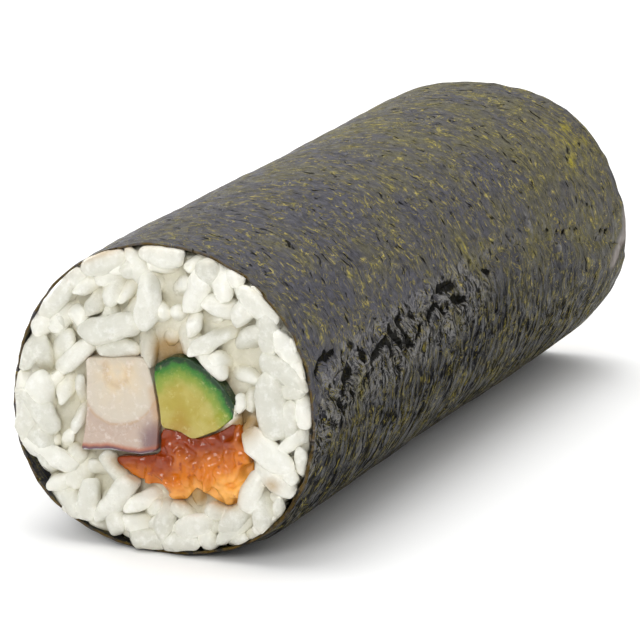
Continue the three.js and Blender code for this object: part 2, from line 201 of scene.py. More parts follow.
def points_of(piece):
    """The mesh's points in millimetres."""
    points = np.empty(len(piece.data.vertices) * 3)
    piece.data.vertices.foreach_get("co", points)
    return points.reshape(-1, 3) / MM


def move_points(piece, points):
    piece.data.vertices.foreach_set("co", (points * MM).astype(np.float32).ravel())
    piece.data.update()


def edit_all(piece):
    only(piece)
    bpy.ops.object.mode_set(mode="EDIT")
    bpy.ops.mesh.select_all(action="SELECT")


def turn_faces_out(piece):
    edit_all(piece)
    bpy.ops.mesh.normals_make_consistent(inside=False)
    bpy.ops.object.mode_set(mode="OBJECT")


def apply_modifier(piece, kind, **values):
    """Adds a modifier with these settings and applies it."""
    only(piece)
    modifier = piece.modifiers.new(kind.title(), kind)
    for name, value in values.items():
        setattr(modifier, name, value)
    bpy.ops.object.modifier_apply(modifier=modifier.name)


def paint(piece, name, values):
    """Stores one number for each point of the mesh, for the material to read."""
    found = piece.data.attributes.get(name) or piece.data.attributes.new(name, "FLOAT", "POINT")
    found.data.foreach_set("value", np.asarray(values, np.float32))


def smooth_step(values, low, high):
    t = np.clip((values - low) / (high - low), 0, 1)
    return t * t * (3 - 2 * t)


def bell(values, middle, width):
    """1 at the middle, falling smoothly to almost 0 at twice the width on either side of it."""
    return np.exp(-(((values - middle) / width) ** 2))


def wander(points, scale, offset=0.0):
    """Smooth noise from -1 to 1 at points in millimetres, `scale` millimetres from one swell to the next."""
    shift = Vector((offset, offset * 0.7, 0))
    return np.array([noise.noise(Vector(p) / scale + shift) for p in points])


def finish_piece(piece, name, nodes, material):
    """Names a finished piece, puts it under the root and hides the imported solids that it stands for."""
    piece.name = piece.data.name = name
    piece.data.materials.clear()
    piece.data.materials.append(material)
    only(piece)
    bpy.ops.object.shade_smooth()
    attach(piece, "root")
    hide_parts(*nodes)
    deselect()


# The roll's section and its two cut ends


def far_swell(angle, along):
    """Millimetres by which the roll is fuller towards its far end: out at the seam, flatter on top."""
    turned = (np.degrees(angle) + 180) % 360 - 180
    fuller = 1.15 * bell(turned, -7, 30) - 0.35 * bell(turned, -58, 14)
    fuller += 0.38 * bell(turned, 48, 18) - 0.35 * bell(turned, 92, 26)
    return smooth_step(along, 0.72, 1.0) * fuller


def section(sizes, angle, along, inset):
    """Points at angles in radians, `inset` inside the sheet's outer face; `along` is 0 at the shown end."""
    middle_y = (along - 0.5) * sizes.roll_length / MM
    lobes = THREE_LOBED * np.clip(1 - along, 0, 1) * np.sin(3 * angle) + FOUR_LOBED * np.cos(4 * angle)
    share = 1 - lobes + WAVE * np.sin(2 * math.pi * middle_y / WAVE_LENGTH + 2 * angle)
    inset = inset - far_swell(angle, along)
    half_width = (sizes.roll_width - sizes.sheet_thickness) / MM / 2 - LAYER_GAP / 2
    half_height = sizes.roll_height / MM - AXIS_Z
    x = (half_width * share - inset) * np.cos(angle)
    rise = (half_height * share - inset) * np.sin(angle)
    y = middle_y * (1 + END_SLANT * (x - rise)) + MIDDLE_Y
    return np.stack([AXIS_X + x, y, np.maximum(AXIS_Z + rise, inset)], -1)


def half_length(sizes):
    """Half the roll's length, in millimetres."""
    return sizes.roll_length / MM / 2


def angle_at(x, z):
    """Angle on the section, in radians."""
    return np.arctan2(z - AXIS_Z, x - AXIS_X)


def from_axis(points):
    """How far points lie from the roll's middle line."""
    return np.hypot(points[:, 0] - AXIS_X, points[:, 2] - AXIS_Z)


def scale_from_axis(points, share, rows=slice(None)):
    """Moves points towards the roll's middle line or away from it."""
    points[rows, 0] = AXIS_X + (points[rows, 0] - AXIS_X) * share
    points[rows, 2] = AXIS_Z + (points[rows, 2] - AXIS_Z) * share


def cut_face(sizes, x, z, end):
    """Y of the cut face over a place; `end` is -1 at the shown end and 1 at the far end."""
    return end * half_length(sizes) * (1 + END_SLANT * (x - AXIS_X - (z - AXIS_Z))) + MIDDLE_Y


def rim_reach(sizes, x, z, end, inset):
    """How far each place lies from the middle, and how far the section reaches on that side."""
    rim = section(sizes, angle_at(x, z), np.full(len(x), 0.0 if end < 0 else 1.0), inset)
    return np.hypot(x - AXIS_X, z - AXIS_Z) + 1e-9, from_axis(rim)


def round_outline(corners, radius, count):
    """A closed outline of `count` points evenly along corners that are rounded off."""
    corners = np.array(corners)
    line = []
    for before, corner, after in zip(np.roll(corners, 1, 0), corners, np.roll(corners, -1, 0)):
        start = corner + (before - corner) * min(radius / np.linalg.norm(before - corner), 0.45)
        end = corner + (after - corner) * min(radius / np.linalg.norm(after - corner), 0.45)
        for t in np.linspace(0, 1, 7):
            line.append((1 - t) ** 2 * start + 2 * t * (1 - t) * corner + t * t * end)
    closed = np.vstack([line, line[:1]])
    along = np.concatenate([[0], np.cumsum(np.linalg.norm(np.diff(closed, axis=0), axis=1))])
    steps = np.linspace(0, along[-1], count, endpoint=False)
    return np.column_stack([np.interp(steps, along, closed[:, i]) for i in range(2)])


def distance_to_line(places, line, closed=False):
    """Distance from each place to a line of straight stretches, and the nearest point on it."""
    starts = np.array(line, float)
    ends = np.roll(starts, -1, 0)
    if not closed:
        starts, ends = starts[:-1], ends[:-1]
    stretch = ends - starts
    to_place = places[:, None] - starts[None]
    share = np.clip((to_place * stretch).sum(2) / (stretch**2).sum(1), 0, 1)
    nearest = starts[None] + share[..., None] * stretch[None]
    apart = np.linalg.norm(places[:, None] - nearest, axis=2)
    rows, pick = np.arange(len(places)), apart.argmin(1)
    return apart[rows, pick], nearest[rows, pick]


def depth_inside(places, outline):
    """Distance to a closed outline, positive inside it and negative outside, and the nearest point on it."""
    apart, nearest = distance_to_line(places, outline, closed=True)
    a = np.array(outline, float)
    b = np.roll(a, -1, 0)
    x, z = places[:, None, 0], places[:, None, 1]
    crosses = (a[:, 1] > z) != (b[:, 1] > z)
    height = np.where(b[:, 1] == a[:, 1], 1e-9, b[:, 1] - a[:, 1])
    at = a[:, 0] + (z - a[:, 1]) / height * (b[:, 0] - a[:, 0])
    within = (crosses & (x < at)).sum(1) % 2 == 1
    return np.where(within, apart, -apart), nearest


def drawn_through(outline, sizes, recess, cuts, stop=None):
    """An outline filled with a grid and drawn out along the roll, with cuts near both of its ends."""
    half = half_length(sizes) - recess
    low, high = (MIDDLE_Y - half, MIDDLE_Y + half) if stop is None else stop
    deselect()
    bpy.ops.mesh.primitive_circle_add(vertices=len(outline), radius=1, fill_type="NOTHING")
    piece = bpy.context.active_object
    move_points(piece, np.column_stack([outline[:, 0], np.full(len(outline), low), outline[:, 1]]))
    edit_all(piece)
    bpy.ops.mesh.fill_grid(span=len(outline) // 4)
    bpy.ops.mesh.select_all(action="SELECT")
    bpy.ops.mesh.extrude_region_move(TRANSFORM_OT_translate={"value": (0, (high - low) * MM, 0)})
    for cut in cuts:
        for at in (low + cut, high - cut):
            bpy.ops.mesh.select_all(action="SELECT")
            bpy.ops.mesh.bisect(plane_co=(0, at * MM, 0), plane_no=(0, 1, 0))
    turn_faces_out(piece)
    return piece


def lean_ends(piece, sizes, recess):
    """Leans both ends of a piece as the roll's own cut faces lean."""
    points = points_of(piece)
    end = np.sign(points[:, 1] - MIDDLE_Y)
    half = half_length(sizes)
    lean = cut_face(sizes, points[:, 0], points[:, 2], end) - (end * half + MIDDLE_Y)
    near = smooth_step(np.abs(points[:, 1] - MIDDLE_Y), half - recess - 9, half - recess - 4)
    points[:, 1] += lean * near
    return points


# The seaweed sheet


def seaweed_mesh(sizes):
    """A flat grid rolled up once and lapped over its own start, then given its thickness."""
    deselect()
    bpy.ops.mesh.primitive_grid_add(x_subdivisions=sizes.sheet_columns, y_subdivisions=sizes.sheet_rows, size=1)
    sheet = bpy.context.active_object
    flat = points_of(sheet) * MM + 0.5
    along = np.interp(flat[:, 1], *zip(*ROWS))
    length = along * SHEET_LENGTH
    line = np.column_stack([length, along * 0, along * 0])
    ragged = 2.3 * wander(line, 5.5) + 1.3 * wander(line, 1.7, 7.0)
    ragged -= 5.0 * np.clip(wander(line, 2.3, 20.0) - 0.22, 0, 1)
    seam = 360 + np.interp(along, *zip(*SEAM)) + ragged * smooth_step(np.abs(along - 0.5), 0.5, 0.48)
    shares, angles = zip(*COLUMNS)
    last = (flat[:, 0] - shares[-1]) / (1 - shares[-1])
    degrees = np.interp(flat[:, 0], shares, angles)
    degrees = np.where(last > 0, angles[-1] + last * (seam - angles[-1]), degrees)
    millimetres = math.pi / 180 * SHEET_RADIUS
    on_top = degrees > 180
    turned = np.where(on_top, degrees - 360, degrees)
    around = degrees * millimetres
    surface = np.column_stack([around, length, along * 0])
    under = np.column_stack([turned * millimetres, length, along * 0])
    near_lap = np.where(on_top, smooth_step(degrees, 290, 330), 1)

    def layered(scale, offset, stretch=(1, 1, 1)):
        """Noise that both layers of the lap share, so that one never cuts through the other."""
        apart = wander(surface * stretch, scale, offset)
        return apart + near_lap * (wander(under * stretch, scale, offset) - apart)

    below = (seam - 360 - turned) * millimetres
    inner = bell(below, 2.5, 4.5) * (0.35 + 0.65 * smooth_step(along, 0.62, 0.42))
    outer = bell(below, 0, 2.4) * (0.5 + 0.5 * smooth_step(along, 0.62, 0.42))
    shrunk = np.where(below > 0, inner, outer) * smooth_step(np.abs(turned), 120, 60)
    dents = 0.17 * layered(17, 0.0) + 0.11 * layered(7, 3.0)
    grainy = 0.08 * layered(2.4, 12.0, (1, 0.8, 1)) + 0.05 * layered(1.3, 14.0)
    ridges = 0.22 - 0.75 * np.abs(layered(2.8, 5.0, (1, 0.7, 1)))
    crinkles = ridges + 0.16 * layered(1.1, 2.0)
    uneven = under[:, :2] + 0.45 * np.column_stack([layered(1.6, 61.0), layered(1.6, 67.0)])

    def near_lines(lines):
        """1 on any of these lines, falling to 0 at about twice its half width."""
        near = np.zeros(len(along))
        for *ends, half in lines:
            row = np.array(ends).reshape(2, 2) * (millimetres, 1)
            near = np.maximum(near, bell(distance_to_line(uneven, row)[0], 0, half))
        return near * (np.abs(turned) < 100)

    torn_in, folded = near_lines(CREVICES), near_lines([(*fold, FOLD_HALF) for fold in FOLDS])
    lift = dents + grainy + shrunk * crinkles - 0.5 * torn_in + 0.3 * folded * (1 - torn_in)
    open_edge = smooth_step(wander(line, 3.5, 33.0), 0.0, 0.25) * smooth_step(along, 0.55, 0.4)
    dive = (0.66 - 0.4 * open_edge) * (1 - 0.4 * torn_in) * (1 - 0.6 * smooth_step(along, 0.9, 0.97))
    lift -= np.where(on_top, dive * bell((seam - degrees) * millimetres, 0, 1.5), 0)
    near_end = bell(length, 0, 1.6) + bell((1 - along) * SHEET_LENGTH, 0, 1.6)
    lift += near_end * 0.14 * wander(surface, 2.6, 8.0)
    lift = np.minimum(lift, 0.3 - 0.25 * smooth_step(along, 0.9, 0.97))
    lift *= 1 - bell(degrees, 270, 20)
    lap_start = 360 + SHEET_START
    climb = smooth_step(degrees, lap_start - LAP_RISE, lap_start - 1) * (sizes.sheet_thickness / MM + LAYER_GAP)
    climb *= 1 - 0.7 * smooth_step(np.abs(along - 0.5), 0.455, 0.492)
    points = section(sizes, np.radians(degrees), along, -climb - lift)
    at_end = np.sign(along - 0.5) * smooth_step(np.abs(along - 0.5), 0.46, 0.5)
    end_line = np.column_stack([around, np.sign(along - 0.5) * 3, along * 0])
    torn = 0.45 * wander(end_line, 4.0) + 0.35 * wander(end_line, 1.3, 6.0) - np.where(along < 0.5, 0.8, 0.1)
    points[:, 1] += at_end * torn
    points[:, 2] = np.maximum(points[:, 2], 0.0)
    move_points(sheet, points)

    layer = sheet.data.uv_layers.active or sheet.data.uv_layers.new()
    corners = np.empty(len(sheet.data.loops), np.int32)
    sheet.data.loops.foreach_get("vertex_index", corners)
    spread = np.column_stack([around, length])
    layer.data.foreach_set("uv", (spread[corners] / SHEET_LENGTH).astype(np.float32).ravel())
    layer.name = "Sheet"
    paint(sheet, "shrunk", np.clip(shrunk * 1.1, 0, 1))
    paint(sheet, "torn_in", torn_in)
    paint(sheet, "folded", folded)
    # Painted shade: the first layer below the seam, on the roll's lower side, is painted darker.
    blend = 1.5 + 5.0 * smooth_step(along, 0.4, 0.7)
    paint(sheet, "shaded_below_seam", smooth_step(below / blend, -0.6, 1.4) * smooth_step(turned, -160, -90) * (turned < 60))
    paint(sheet, "cut_edge", smooth_step(np.abs(along - 0.5), 0.4985, 0.5))
    # Painted light: a yellow glow on the thin spots and, fainter, round them.
    lit = [bell(np.hypot(under[:, 0] - d * millimetres, under[:, 1] - y), 0, r) for d, y, r in BRIGHT_SPOTS]
    around_spots = bell(np.hypot(under[:, 0] - 40 * millimetres, (under[:, 1] - 92) * 0.8), 0, 5)
    paint(sheet, "lit", np.maximum(np.max(lit, axis=0), 0.36 * around_spots) * (np.abs(turned) < 120))
    # Painted reflection: a pale grey strip at the far rim, where the folded sheet is also made smooth.
    from_strip = distance_to_line(under[:, :2], np.array(SHEEN_STRIP_LINE) * (millimetres, 1))[0]
    paint(sheet, "sheen_strip_mask", np.clip(1.9 - from_strip / 0.7, 0, 1) * (np.abs(turned) < 60))
    outwards = middle_faces_out(sheet)
    apply_modifier(sheet, "SOLIDIFY", thickness=sizes.sheet_thickness * SHEET_SHARE, offset=-1.0 if outwards else 1.0)
    return sheet


def middle_faces_out(sheet):
    """True if the middle face of the rolled sheet looks away from the roll's axis."""
    face = sheet.data.polygons[len(sheet.data.polygons) // 2]
    outward = Vector((face.center.x - AXIS_X * MM, 0, face.center.z - AXIS_Z * MM))
    return face.normal.dot(outward) > 0


# The rice


def taken_faces(piece):
    """The faces of a pattern, whose own object is then deleted."""
    faces = [tuple(face.vertices) for face in piece.data.polygons]
    bpy.ops.object.delete()
    return faces


def grain_pattern():
    """One grain, modelled once: blunt at both ends, slightly bent, with a notch where the germ was."""
    deselect()
    bpy.ops.mesh.primitive_uv_sphere_add(segments=10, ring_count=8, radius=1, rotation=(0, math.pi / 2, 0))
    grain = bpy.context.active_object
    bpy.ops.object.transform_apply(location=False, rotation=True, scale=True)
    p = points_of(grain) * MM
    x = p[:, 0]
    round_width = np.sqrt(np.clip(1 - x * x, 1e-4, 1))
    blunt_width = np.sqrt(np.clip(1 - np.abs(x) ** 3.4, 0, 1))
    p[:, 1:] *= np.where(np.abs(x) > 0.999, 1, np.minimum(blunt_width / round_width, 1.6))[:, None]
    p[:, 1:] *= (1 - 0.1 * x)[:, None]
    p[:, 2] += 0.16 * (x * x - 0.35)
    p[:, 2] -= 0.35 * bell(x, 0.82, 0.2) * np.clip(p[:, 2], 0, 1)
    return p, taken_faces(grain)


def joined_copies(name, pattern, faces, copies):
    """One mesh out of many placed copies of a pattern, in millimetres."""
    count = len(pattern)
    all_faces = [tuple(i + k * count for i in face) for k in range(len(copies)) for face in faces]
    mesh = bpy.data.meshes.new(name)
    mesh.from_pydata((np.vstack(copies) * MM).tolist(), [], all_faces)
    piece = bpy.data.objects.new(name, mesh)
    bpy.context.scene.collection.objects.link(piece)
    turn_faces_out(piece)
    return piece


def keep_in_place(sizes, balls, radius, end, depths):
    """Keeps balls inside the sheet, off the fillings and hollows, and close behind the cut face."""
    moved = balls.copy()
    for outline in FILLINGS:
        depth, nearest = depth_inside(moved[:, [0, 2]], outline)
        away = (moved[:, [0, 2]] - nearest) * np.where(depth > 0, -1, 1)[:, None]
        away /= np.linalg.norm(away, axis=1)[:, None] + 1e-9
        moved[:, [0, 2]] += away * np.clip(radius * 0.8 + depth, 0, None)[:, None] * 0.8
    for x, z, size in HOLLOWS if end < 0 else ():
        away = moved[:, [0, 2]] - (x, z)
        far = np.linalg.norm(away, axis=1)[:, None] + 1e-9
        moved[:, [0, 2]] += away / far * np.clip(size + radius - far, 0, None)
    far, reach = rim_reach(sizes, moved[:, 0], moved[:, 2], end, 0.2 + radius * 0.85)
    outwards = np.where((depths[:, 0] < 1) & (reach - far < 2.5), 0.12, 0)
    keep = np.minimum(1 + outwards / far, reach / far)
    scale_from_axis(moved, keep)
    face = cut_face(sizes, moved[:, 0], moved[:, 2], end)
    moved[:, 1] = face - end * np.clip((face - moved[:, 1]) * end, depths[:, 0], depths[:, 1])
    return moved


def settle(sizes, end, depths, middles, axes, lengths, fixed, rounds=70):
    """Presses grains apart as strings of three balls each."""
    radius = BALL_RADIUS
    reach = (lengths / 2 - radius * 0.95)[:, None, None]
    steps = np.array([-1, 0, 1.0])[None, :, None]
    balls = middles[:, None] + axes[:, None] * steps * reach
    owner = np.repeat(np.arange(len(middles)), 3)
    free, depths = ~fixed[owner], depths[owner]
    same = owner[:, None] == owner[None]
    for _ in range(rounds):
        flat = balls.reshape(-1, 3)
        gap = flat[:, None] - flat[None]
        apart = np.linalg.norm(gap, axis=2) + 1e-9
        overlap = np.where(same, 0, np.clip(1.96 * radius - apart, 0, None))
        weight = np.where(free[None, :], 0.5, 1.0) * free[:, None]
        flat = flat + (gap / apart[..., None] * (overlap * weight)[..., None]).sum(1) * 0.55
        balls = np.where(free[:, None], keep_in_place(sizes, flat, radius, end, depths), flat).reshape(-1, 3, 3)
        middles = balls.mean(1)
        axes = balls[:, 2] - balls[:, 0]
        axes /= np.linalg.norm(axes, axis=1)[:, None]
        balls = middles[:, None] + axes[:, None] * steps * reach
    return middles, axes


def tipped_axis(turn, tip):
    """Which way a grain points that is turned on the cut face and tipped out of it."""
    return (math.cos(turn) * math.cos(tip), math.sin(tip), math.sin(turn) * math.cos(tip))


def shown_grains(sizes, rng):
    """Places of the grains that can be told apart on the shown end."""
    for x, z, turn, seen, width, out in SHOWN_GRAINS:
        end_on = seen < 1.3 * width
        length = max(seen, 5.2) if end_on else max(seen, min(sizes.grain_length / MM, 1.25 * seen))
        tip = math.radians(68) if end_on else math.acos(seen / length) * 0.85
        tip *= rng.choice([-1, 1])
        turn = math.radians(turn)
        axis = tipped_axis(turn, tip)
        sink = 0.42 * width - out + length / 2 * abs(math.sin(tip)) * (0.85 if end_on else 0.6)
        yield (x, cut_face(sizes, x, z, -1) + sink, z), axis, length, width


def thrown_grain(sizes, rng, end, x, z, turn, depth):
    """A grain at a place on the face, turned and tipped."""
    axis = tipped_axis(turn, rng.normal(0, 0.35))
    middle = (x, cut_face(sizes, x, z, end) - end * depth, z)
    length, width = sizes.grain_length / MM, sizes.grain_width / MM
    return middle, axis, length * rng.uniform(0.74, 1.0), width * rng.uniform(0.9, 1.15)


def rim_grains(sizes, rng, end, count):
    """A ring of grains against the sheet, most of them lying along it."""
    for k in range(count):
        angle = 2 * math.pi * (k + rng.uniform(-0.3, 0.3)) / count
        x, z = AXIS_X + RIM_RING[0] * math.cos(angle), AXIS_Z + RIM_RING[1] * math.sin(angle)
        yield thrown_grain(sizes, rng, end, x, z, angle + math.pi / 2 + rng.normal(0, 0.55), 1.2)


def loose_grains(sizes, rng, end, count):
    """Grains thrown in anywhere that is free of fillings, to be settled afterwards."""
    while count > 0:
        angle, reach = rng.uniform(0, 2 * math.pi), LOOSE_REACH * math.sqrt(rng.uniform(0.1, 1))
        x, z = reach * math.cos(angle), AXIS_Z + reach * math.sin(angle)
        place = np.array([[x, z]])
        if any(depth_inside(place, outline)[0][0] > 0 for outline in FILLINGS):
            continue
        yield thrown_grain(sizes, rng, end, x, z, rng.uniform(0, 2 * math.pi), rng.uniform(*LOOSE_DEPTHS))
        count -= 1


def grains_at_end(sizes, rng, end):
    """Middles, axes, lengths and widths of all the grains at one end of the roll."""
    shown = list(shown_grains(sizes, rng)) if end < 0 else []
    count = sizes.shown_end_grains if end < 0 else sizes.far_end_grains
    rim = list(rim_grains(sizes, rng, end, sizes.rim_grains))
    loose = list(loose_grains(sizes, rng, end, count - len(shown) - len(rim)))
    middles, axes, lengths, widths = (np.array(column) for column in zip(*shown, *rim, *loose))
    fixed = np.arange(len(middles)) < len(shown)
    ranges = np.array([LOOSE_DEPTHS] * len(shown) + [RIM_DEPTHS] * len(rim) + [LOOSE_DEPTHS] * len(loose))
    middles, axes = settle(sizes, end, ranges, middles, axes, lengths, fixed)
    return middles, axes, lengths, widths


def placed_grain(rng, pattern, middle, axis, length, width):
    """A copy of the grain: flattened where others pressed it, bent, turned and laid in place."""
    bent = pattern.copy()
    for _ in range(7):
        way = rng.normal(size=3) * (0.6, 1, 1)
        way /= np.linalg.norm(way)
        bent -= np.outer(np.clip(bent @ way - rng.uniform(0.62, 0.88), 0, None) * 0.75, way)
    bent *= (1.03, 1.08, 1.08)
    bent[:, 2] += rng.uniform(-0.14, 0.1) * (bent[:, 0] ** 2 - 0.35)
    bent[:, 1] += rng.uniform(-0.16, 0.16) * (bent[:, 0] ** 2 - 0.35)
    bent *= (length / 2, width / 2, width / 2 * rng.uniform(0.82, 0.98))
    if rng.uniform() < 0.5:
        bent[:, :2] *= -1
    side = np.cross(axis, (0.0, 1.0, 0.0))
    side /= np.linalg.norm(side) + 1e-9
    up = np.cross(side, axis)
    roll = rng.uniform(-0.7, 0.7) + (math.pi if rng.uniform() < 0.5 else 0)
    side, up = side * math.cos(roll) + up * math.sin(roll), up * math.cos(roll) - side * math.sin(roll)
    return middle + bent[:, :1] * axis + bent[:, 1:2] * side + bent[:, 2:] * up


def heap_mesh(sizes, rng):
    """The grains of both ends as one mesh of copies, pressed against what lies round them."""
    pattern, faces = grain_pattern()
    copies, tones = [], []
    for end in (-1, 1):
        for middle, axis, length, width in zip(*grains_at_end(sizes, rng, end)):
            copies.append(placed_grain(rng, pattern, middle, axis, length, width))
            tones.append(np.full(len(pattern), rng.uniform()))
    heap = joined_copies("grains", pattern, faces, copies)
    paint(heap, "tone", np.concatenate(tones))
    apply_modifier(heap, "SUBSURF", levels=1, render_levels=1)
    move_points(heap, pressed(sizes, points_of(heap)))
    return heap


def pressed(sizes, points):
    """Grains are lumpy, cut off at the face, and flattened against the sheet and the fillings."""
    lump = np.column_stack([wander(points, 1.5, 31.0), wander(points, 1.5, 47.0), wander(points, 1.5, 59.0)])
    points = points + lump * 0.26 + wander(points, 0.6, 8.0)[:, None] * 0.05
    end = np.sign(points[:, 1])
    face = cut_face(sizes, points[:, 0], points[:, 2], end)
    beyond = (points[:, 1] - face) * end
    limit = 0.7 + 0.5 * wander(points, 5.0, 21.0)
    points[:, 1] -= end * np.clip(beyond - limit, 0, None) * 0.8
    for side in (-1, 1):
        here = end == side
        past = smooth_step(beyond[here], -0.3, 0.35)
        angle = np.degrees(angle_at(points[here, 0], points[here, 2]))
        lapped = smooth_step(angle, -55, -48) * smooth_step(-angle, -24, -18)
        wedge = smooth_step(angle, -70, -58) * smooth_step(-angle, 34, 44)
        deep = smooth_step(-beyond[here], 0.8, 2.2)
        inset = 0.32 + (0.1 + 0.5 * lapped) * deep - (0.3 + 0.3 * wedge) * past
        far, reach = rim_reach(sizes, points[here, 0], points[here, 2], side, inset)
        keep = np.where(far > reach, (reach + 0.15 * (1 - np.exp(np.minimum(reach - far, 0)))) / far, 1)
        scale_from_axis(points, keep, here)
    for outline in FILLINGS:
        depth, nearest = depth_inside(points[:, [0, 2]], outline)
        hit = (depth > 0) & (beyond < 0.35)
        points[hit, 0], points[hit, 2] = nearest[hit, 0], nearest[hit, 1]
    points[:, 2] = np.maximum(points[:, 2], 0.3)
    return points


def packed_core(sizes):
    """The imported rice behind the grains, from end to end inside the sheet, bumpy where it shows."""
    recess = sizes.core_recess / MM
    rim = section(sizes, np.linspace(0, 2 * math.pi, 144, endpoint=False), np.zeros(144), CORE_INSET)
    core = drawn_through(rim[:, [0, 2]], sizes, recess, (3, 8, 16, 24, 32, 40))
    points = lean_ends(core, sizes, recess)
    along = np.clip((points[:, 1] - MIDDLE_Y) / (sizes.roll_length / MM) + 0.5, 0, 1)
    angle = angle_at(points[:, 0], points[:, 2])
    here, start = section(sizes, angle, along, CORE_INSET), section(sizes, angle, along * 0, CORE_INSET)
    scale_from_axis(points, from_axis(here) / from_axis(start))
    on_face = np.abs(points[:, 1] - MIDDLE_Y) > half_length(sizes) - recess - 2
    bumps = 0.5 * wander(points, 3.0, 2.0) + 0.25 * wander(points, 1.4, 5.0)
    points[:, 1] += np.where(on_face, np.sign(points[:, 1]) * bumps, 0)
    move_points(core, points)
    paint(core, "tone", np.full(len(points), 0.3))
    return core


def rice_shade(piece, sizes):
    """Marks how deep each point lies behind the cut face, for painted shade, and how far the rice is browned: oil stain
    by the relish, painted shade in hollows and by the fish and cucumber, and a band along the sheet's rim.
    """
    points = points_of(piece)
    end = np.sign(points[:, 1])
    behind = (cut_face(sizes, points[:, 0], points[:, 2], end) - points[:, 1]) * end
    # Painted shade: the deeper behind the cut face, the darker the rice is painted.
    paint(piece, "behind", smooth_step(behind, 0.2, 2.6))
    face = points[:, [0, 2]]
    hollow = np.zeros(len(face))
    # Oil stain and painted shade: hollows are painted browner and darker, the more so deeper in.
    for x, z, size in SHADED_STAINED_HOLLOWS:
        hollow = np.maximum(hollow, bell(np.linalg.norm((face - (x, z)) * (0.8, 1), axis=1), 0, size))
    hollow *= 0.5 + 0.5 * smooth_step(behind, 0.2, 1.4)
    depth, _ = depth_inside(face, RELISH)
    soaked = 0.6 * np.exp(-np.clip(-depth, 0, None) / 0.4)
    # Painted shade: browner and darker by the fish and cucumber, the more so deeper in.
    fillings = np.maximum(depth_inside(face, FISH)[0], depth_inside(face, CUCUMBER)[0])
    near = 0.6 * np.exp(-np.clip(-fillings, 0, None) / 0.45) * smooth_step(behind, 0.0, 1.2)
    # Browner along the sheet's rim, most at the top left.
    far, reach = rim_reach(sizes, points[:, 0], points[:, 2], -1, 0.3)
    angle = np.degrees(angle_at(face[:, 0], face[:, 1]))
    at_rim = np.exp(-np.clip(reach - far, 0, None) / 0.3) * (0.15 + 0.5 * bell(angle, 112, 16))
    paint(piece, "stain_and_shade", np.clip(hollow * 1.6 + np.maximum(soaked, near) + at_rim, 0, 1))


# The fillings


def round_over(points, outline, radius):
    """Rounds the rim of both cut faces over, and returns how far in from the rim each point lies."""
    depth = np.clip(depth_inside(points[:, [0, 2]], outline)[0], 0, None)
    drop = radius * (1 - np.sqrt(np.clip(1 - (1 - np.clip(depth / radius, 0, 1)) ** 2, 0, 1)))
    low, high = points[:, 1].min(), points[:, 1].max()
    points[:, 1] += np.where(points[:, 1] < low + 0.02, drop, 0) - np.where(points[:, 1] > high - 0.02, drop, 0)
    return depth


def push_faces(points, amount, near=0.9):
    """Moves the points of both cut faces outwards by a different amount each."""
    low, high = points[:, 1].min(), points[:, 1].max()
    points[:, 1] += np.where(points[:, 1] > high - near, amount, 0)
    points[:, 1] -= np.where(points[:, 1] < low + near, amount, 0)


def cut_filling(sizes, corners, rounding, recess, cuts, rim):
    """A filling drawn through the roll, its points, and how far in from its rim each of them lies."""
    outline = round_outline(corners, rounding, 96)
    piece = drawn_through(outline, sizes, recess, cuts)
    apply_modifier(piece, "SUBSURF", levels=1, render_levels=1)
    points = points_of(piece)
    return piece, points, round_over(points, outline, rim)


def mackerel_mesh(sizes):
    """The strip of fish: soft muscle rings that curl round one point show in low relief on the cut."""
    recess = 0.45
    piece, points, depth = cut_filling(sizes, FISH, 0.4, recess, (0.5, 1.4, 3.5), 0.22)
    face = points[:, [0, 2]]
    flat = np.column_stack([face, face[:, 0] * 0])
    from_heart = face - MUSCLE_HEART
    ring = np.hypot(from_heart[:, 0] * 1.08, from_heart[:, 1]) + wander(flat, 4.0) * 0.5
    curl = distance_to_line(face, MUSCLE_CURL)[0] + 0.15 * wander(flat, 1.2, 3.0)
    groove = 0.13 * bell(ring, 5.3, 0.4) + 0.08 * bell(curl, 0, 0.3)
    swell = 0.1 * wander(flat, 2.6, 5.0) + 0.07 * wander(flat, 0.9, 9.0) + 0.1 * smooth_step(depth, 0, 2)
    push_faces(points, swell - groove)
    points[:, [0, 2]] += wander(points, 3.0, 3.0)[:, None] * 0.12
    move_points(piece, points)
    move_points(piece, lean_ends(piece, sizes, recess))
    face = points[:, [0, 2]]
    paint(piece, "ring", ring)
    paint(piece, "curl", curl)
    paint(piece, "from_skin", distance_to_line(face, FISH_SKIN)[0])
    paint(piece, "from_corner", np.linalg.norm((face - DARK_CORNER) * (1.25, 0.9), axis=1))
    paint(piece, "from_bloodline", distance_to_line(face, BLOODLINE)[0])
    return piece


def cucumber_mesh(sizes):
    """The wedge of cucumber, cut clean, with its skin on the round side."""
    recess = 0.4
    piece, points, depth = cut_filling(sizes, CUCUMBER, 0.5, recess, (0.4, 1.4, 3.5), 0.2)
    flat = np.column_stack([points[:, [0, 2]], points[:, 0] * 0])
    dimples = 0.08 * wander(flat, 1.8) + 0.05 * wander(flat, 0.7, 4.0)
    push_faces(points, dimples - 0.15 * smooth_step(depth, 0.4, 2.5), 0.6)
    move_points(piece, points)
    move_points(piece, lean_ends(piece, sizes, recess))
    paint(piece, "from_skin", distance_to_line(points[:, [0, 2]], CUCUMBER_SKIN)[0])
    return piece


def lump_pattern():
    """One chopped piece, before it is made uneven."""
    deselect()
    bpy.ops.mesh.primitive_ico_sphere_add(subdivisions=2, radius=1)
    lump = bpy.context.active_object
    return points_of(lump) * MM, taken_faces(lump)


